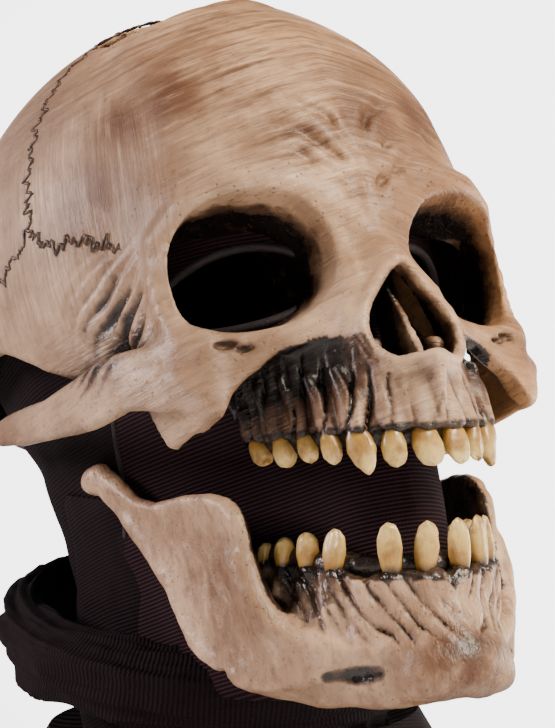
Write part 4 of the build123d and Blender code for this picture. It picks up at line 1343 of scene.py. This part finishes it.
def build_bib():
    """Cape of the hood spreading over the shoulders in soft pleats."""
    rows, around = 70, 360
    t = np.linspace(0, 2 * np.pi, around, endpoint=False)
    verts = []
    for i in range(rows):
        d = BIB_LENGTH * i / (rows - 1)
        radius = np.interp(d, [0, 14, 40, BIB_LENGTH], [71, 79, 103, 126])
        swell = 2.2 * np.sin(9 * t + 0.4 * np.sin(2 * t)) + 1.4 * np.sin(17 * t + 2)
        pleat = (d / BIB_LENGTH) ** 0.8 * swell
        centre = NECK_TOP + NECK_DOWN * (BIB_START + d)
        ring = centre[None] + (np.cos(t) * (radius + pleat - 2))[:, None] * np.array([1, 0, 0])
        ring = ring + (np.sin(t) * (radius * 0.86 + pleat - 2))[:, None] * NECK_ACROSS
        verts.append(ring)
    verts = np.concatenate(verts)
    rib = np.tile(t * 100, rows)
    obj = cloth_object("bib", verts, grid_faces(rows, around), rib, everywhere, JERSEY)
    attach(obj, "skull")
    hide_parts("shoulder_bib")


build_bib()


# ---- pads and glue ---------------------------------------------------------------------------------
PAD_OUTER_GAP = 4.6                       # from the outside of the cranium to a pad
CROWN_CENTRE = (0, 12, 46)                # the covered head under the pads
CROWN_RADII = (81.8, 101.8, 87.8)


def pad_field(box):
    """Rounded block of foam kept between the cranium and the covered head."""
    lo, hi = np.array(box[0::2], float), np.array(box[1::2], float)
    middle, half = (lo + hi) / 2, (hi - lo) / 2 - 4

    def field(p):
        q = np.abs(p - middle) - half
        block = np.linalg.norm(np.maximum(q, 0), axis=1) + np.minimum(q.max(1), 0) - 4
        outer = ball(p, CENTRE, tuple(r - PAD_OUTER_GAP for r in RADII))
        inner = ball(p, CROWN_CENTRE, CROWN_RADII)
        skin = smooth_max(outer, -inner, 1.0)
        return smooth_max(block, skin, 1.5) + 0.2 * lattice_noise(p, 6, 71)
    return field


PADS = {
    "crown_pad": (-34, 34, -30, 48, 60, 150),
    "forehead_pad": (-34, 34, -112, -40, 72, 98),
    "rear_pad": (-32, 32, 60, 124, 30, 84),
    "side_pad_r": (-92, -50, -18, 46, 40, 80),
    "side_pad_l": (50, 92, -18, 46, 40, 80),
}


def build_pads():
    for node, box in PADS.items():
        lo = np.array(box[0::2], float) - 3
        hi = np.array(box[1::2], float) + 3
        verts, faces, _ = field_mesh(pad_field(box), lo, hi, 2.0)
        if not len(faces):
            continue
        obj = make_object(node + "_foam", verts, faces, FOAM)
        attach(obj, "skull")
        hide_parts(node)


build_pads()


def chin_block(p):
    """Foam between the chin of the hood and the latex."""
    q = np.abs(p - np.array([0, -101.5, -107])) - np.array([11, 5, 8.5])
    block = np.linalg.norm(np.maximum(q, 0), axis=1) + np.minimum(q.max(1), 0) - 2.5
    inside = level_wall(folded(p), JAW_LEVELS, 0) + 6.5
    return smooth_max(block, inside, 1.0) + 0.2 * lattice_noise(p, 5, 72)


def build_chin_pad():
    verts, faces, _ = field_mesh(chin_block, (-17, -112, -121), (17, -92, -94), 1.5)
    obj = make_object("chin_pad_foam", verts, faces, FOAM)
    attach(obj, "jaw")
    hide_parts("chin_pad")


build_chin_pad()


CAMERA_AT = (-0.32985, -0.59216, -0.17552)
LENS_MM = 96.42
SENSOR_MM = 36
AIM_LEFT, AIM_DOWN = 0.020914, 0.009221   # tangents of the turns from straight ahead
FLOOR_HALF = 1500
FLOOR_Z = -300


def floor_and_light():
    """Pale floor, soft lamps, bright sky ahead and the camera at the first view."""
    n = Nodes("floor")
    grain = n.noise(n.coords, 6.0, 3, 0.5)
    n.set("Base Color", n.mix(n.ramp(grain, 0.3, 0.7), (0.86, 0.85, 0.84), (0.9, 0.89, 0.88)))
    n.set("Roughness", 0.8)
    corners = [(sx * FLOOR_HALF, sy * FLOOR_HALF, FLOOR_Z) for sx, sy in ((-1, -1), (1, -1), (1, 1), (-1, 1))]
    floor = make_object("floor", corners, [(0, 1, 2, 3)], n.material)
    right = Vector((0.861, -0.472, -0.189)).normalized()
    ahead = Vector((0.507, 0.818, 0.270)).normalized()
    up = Vector((0.027, -0.328, 0.944)).normalized()
    aim = (ahead - right * AIM_LEFT - up * AIM_DOWN).normalized()
    up = (up - aim * up.dot(aim)).normalized()
    side = aim.cross(up)
    camera = bpy.data.objects.new("camera", bpy.data.cameras.new("camera"))
    bpy.context.scene.collection.objects.link(camera)
    camera.data.sensor_width = SENSOR_MM
    camera.data.lens = LENS_MM
    camera.data.clip_end = 30
    camera.matrix_world = Matrix((
        (side.x, up.x, -aim.x, CAMERA_AT[0]),
        (side.y, up.y, -aim.y, CAMERA_AT[1]),
        (side.z, up.z, -aim.z, CAMERA_AT[2]),
        (0, 0, 0, 1)))
    bpy.context.scene.camera = camera
    middle = Vector((0, -0.02, 0.0))
    lamps = [
        ("key", right * 0.75 + up * 0.85 - ahead * 0.55, 0.4, 29.0, (1.0, 0.86, 0.70)),
        ("left", right * -1.05 + up * 0.35 - ahead * 0.1, 0.35, 15.0, (1.0, 0.82, 0.80)),
        ("front", right * 0.2 - up * 0.35 - ahead * 1.1, 0.7, 4.5, (1.0, 0.93, 0.88)),
        ("rim", right * 0.9 - up * 0.1 + ahead * 0.5, 0.5, 7.0, (1.0, 0.9, 0.82)),
    ]
    for name, offset, width, power, colour in lamps:
        lamp = bpy.data.objects.new(name, bpy.data.lights.new(name, "AREA"))
        lamp.data.size = width
        lamp.data.energy = power
        lamp.data.color = colour
        lamp.location = middle + offset
        lamp.rotation_mode = "QUATERNION"
        lamp.rotation_quaternion = (-offset).to_track_quat("-Z", "Y")
        bpy.context.scene.collection.objects.link(lamp)
    world = bpy.data.worlds.new("studio")
    bpy.context.scene.world = world
    world.use_nodes = True
    tree = world.node_tree
    place = tree.nodes.new("ShaderNodeTexCoord")
    facing = tree.nodes.new("ShaderNodeVectorMath")
    facing.operation = "DOT_PRODUCT"
    facing.inputs[1].default_value = ahead
    tree.links.new(place.outputs["Generated"], facing.inputs[0])
    fade = tree.nodes.new("ShaderNodeMapRange")
    tree.links.new(facing.outputs["Value"], fade.inputs["Value"])
    fade.inputs["From Min"].default_value = 0.93
    fade.inputs["From Max"].default_value = 0.975
    fade.inputs["To Min"].default_value = 0.26
    fade.inputs["To Max"].default_value = 4.6
    backdrop = tree.nodes["Background"]
    backdrop.inputs["Color"].default_value = (1, 1, 1, 1)
    tree.links.new(fade.outputs["Result"], backdrop.inputs["Strength"])


floor_and_light()

CAD_LOOKS = {"jaw_glue_bead": GLUE}
for node, material in CAD_LOOKS.items():
    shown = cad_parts[node]
    shown.data.materials.clear()
    shown.data.materials.append(material)
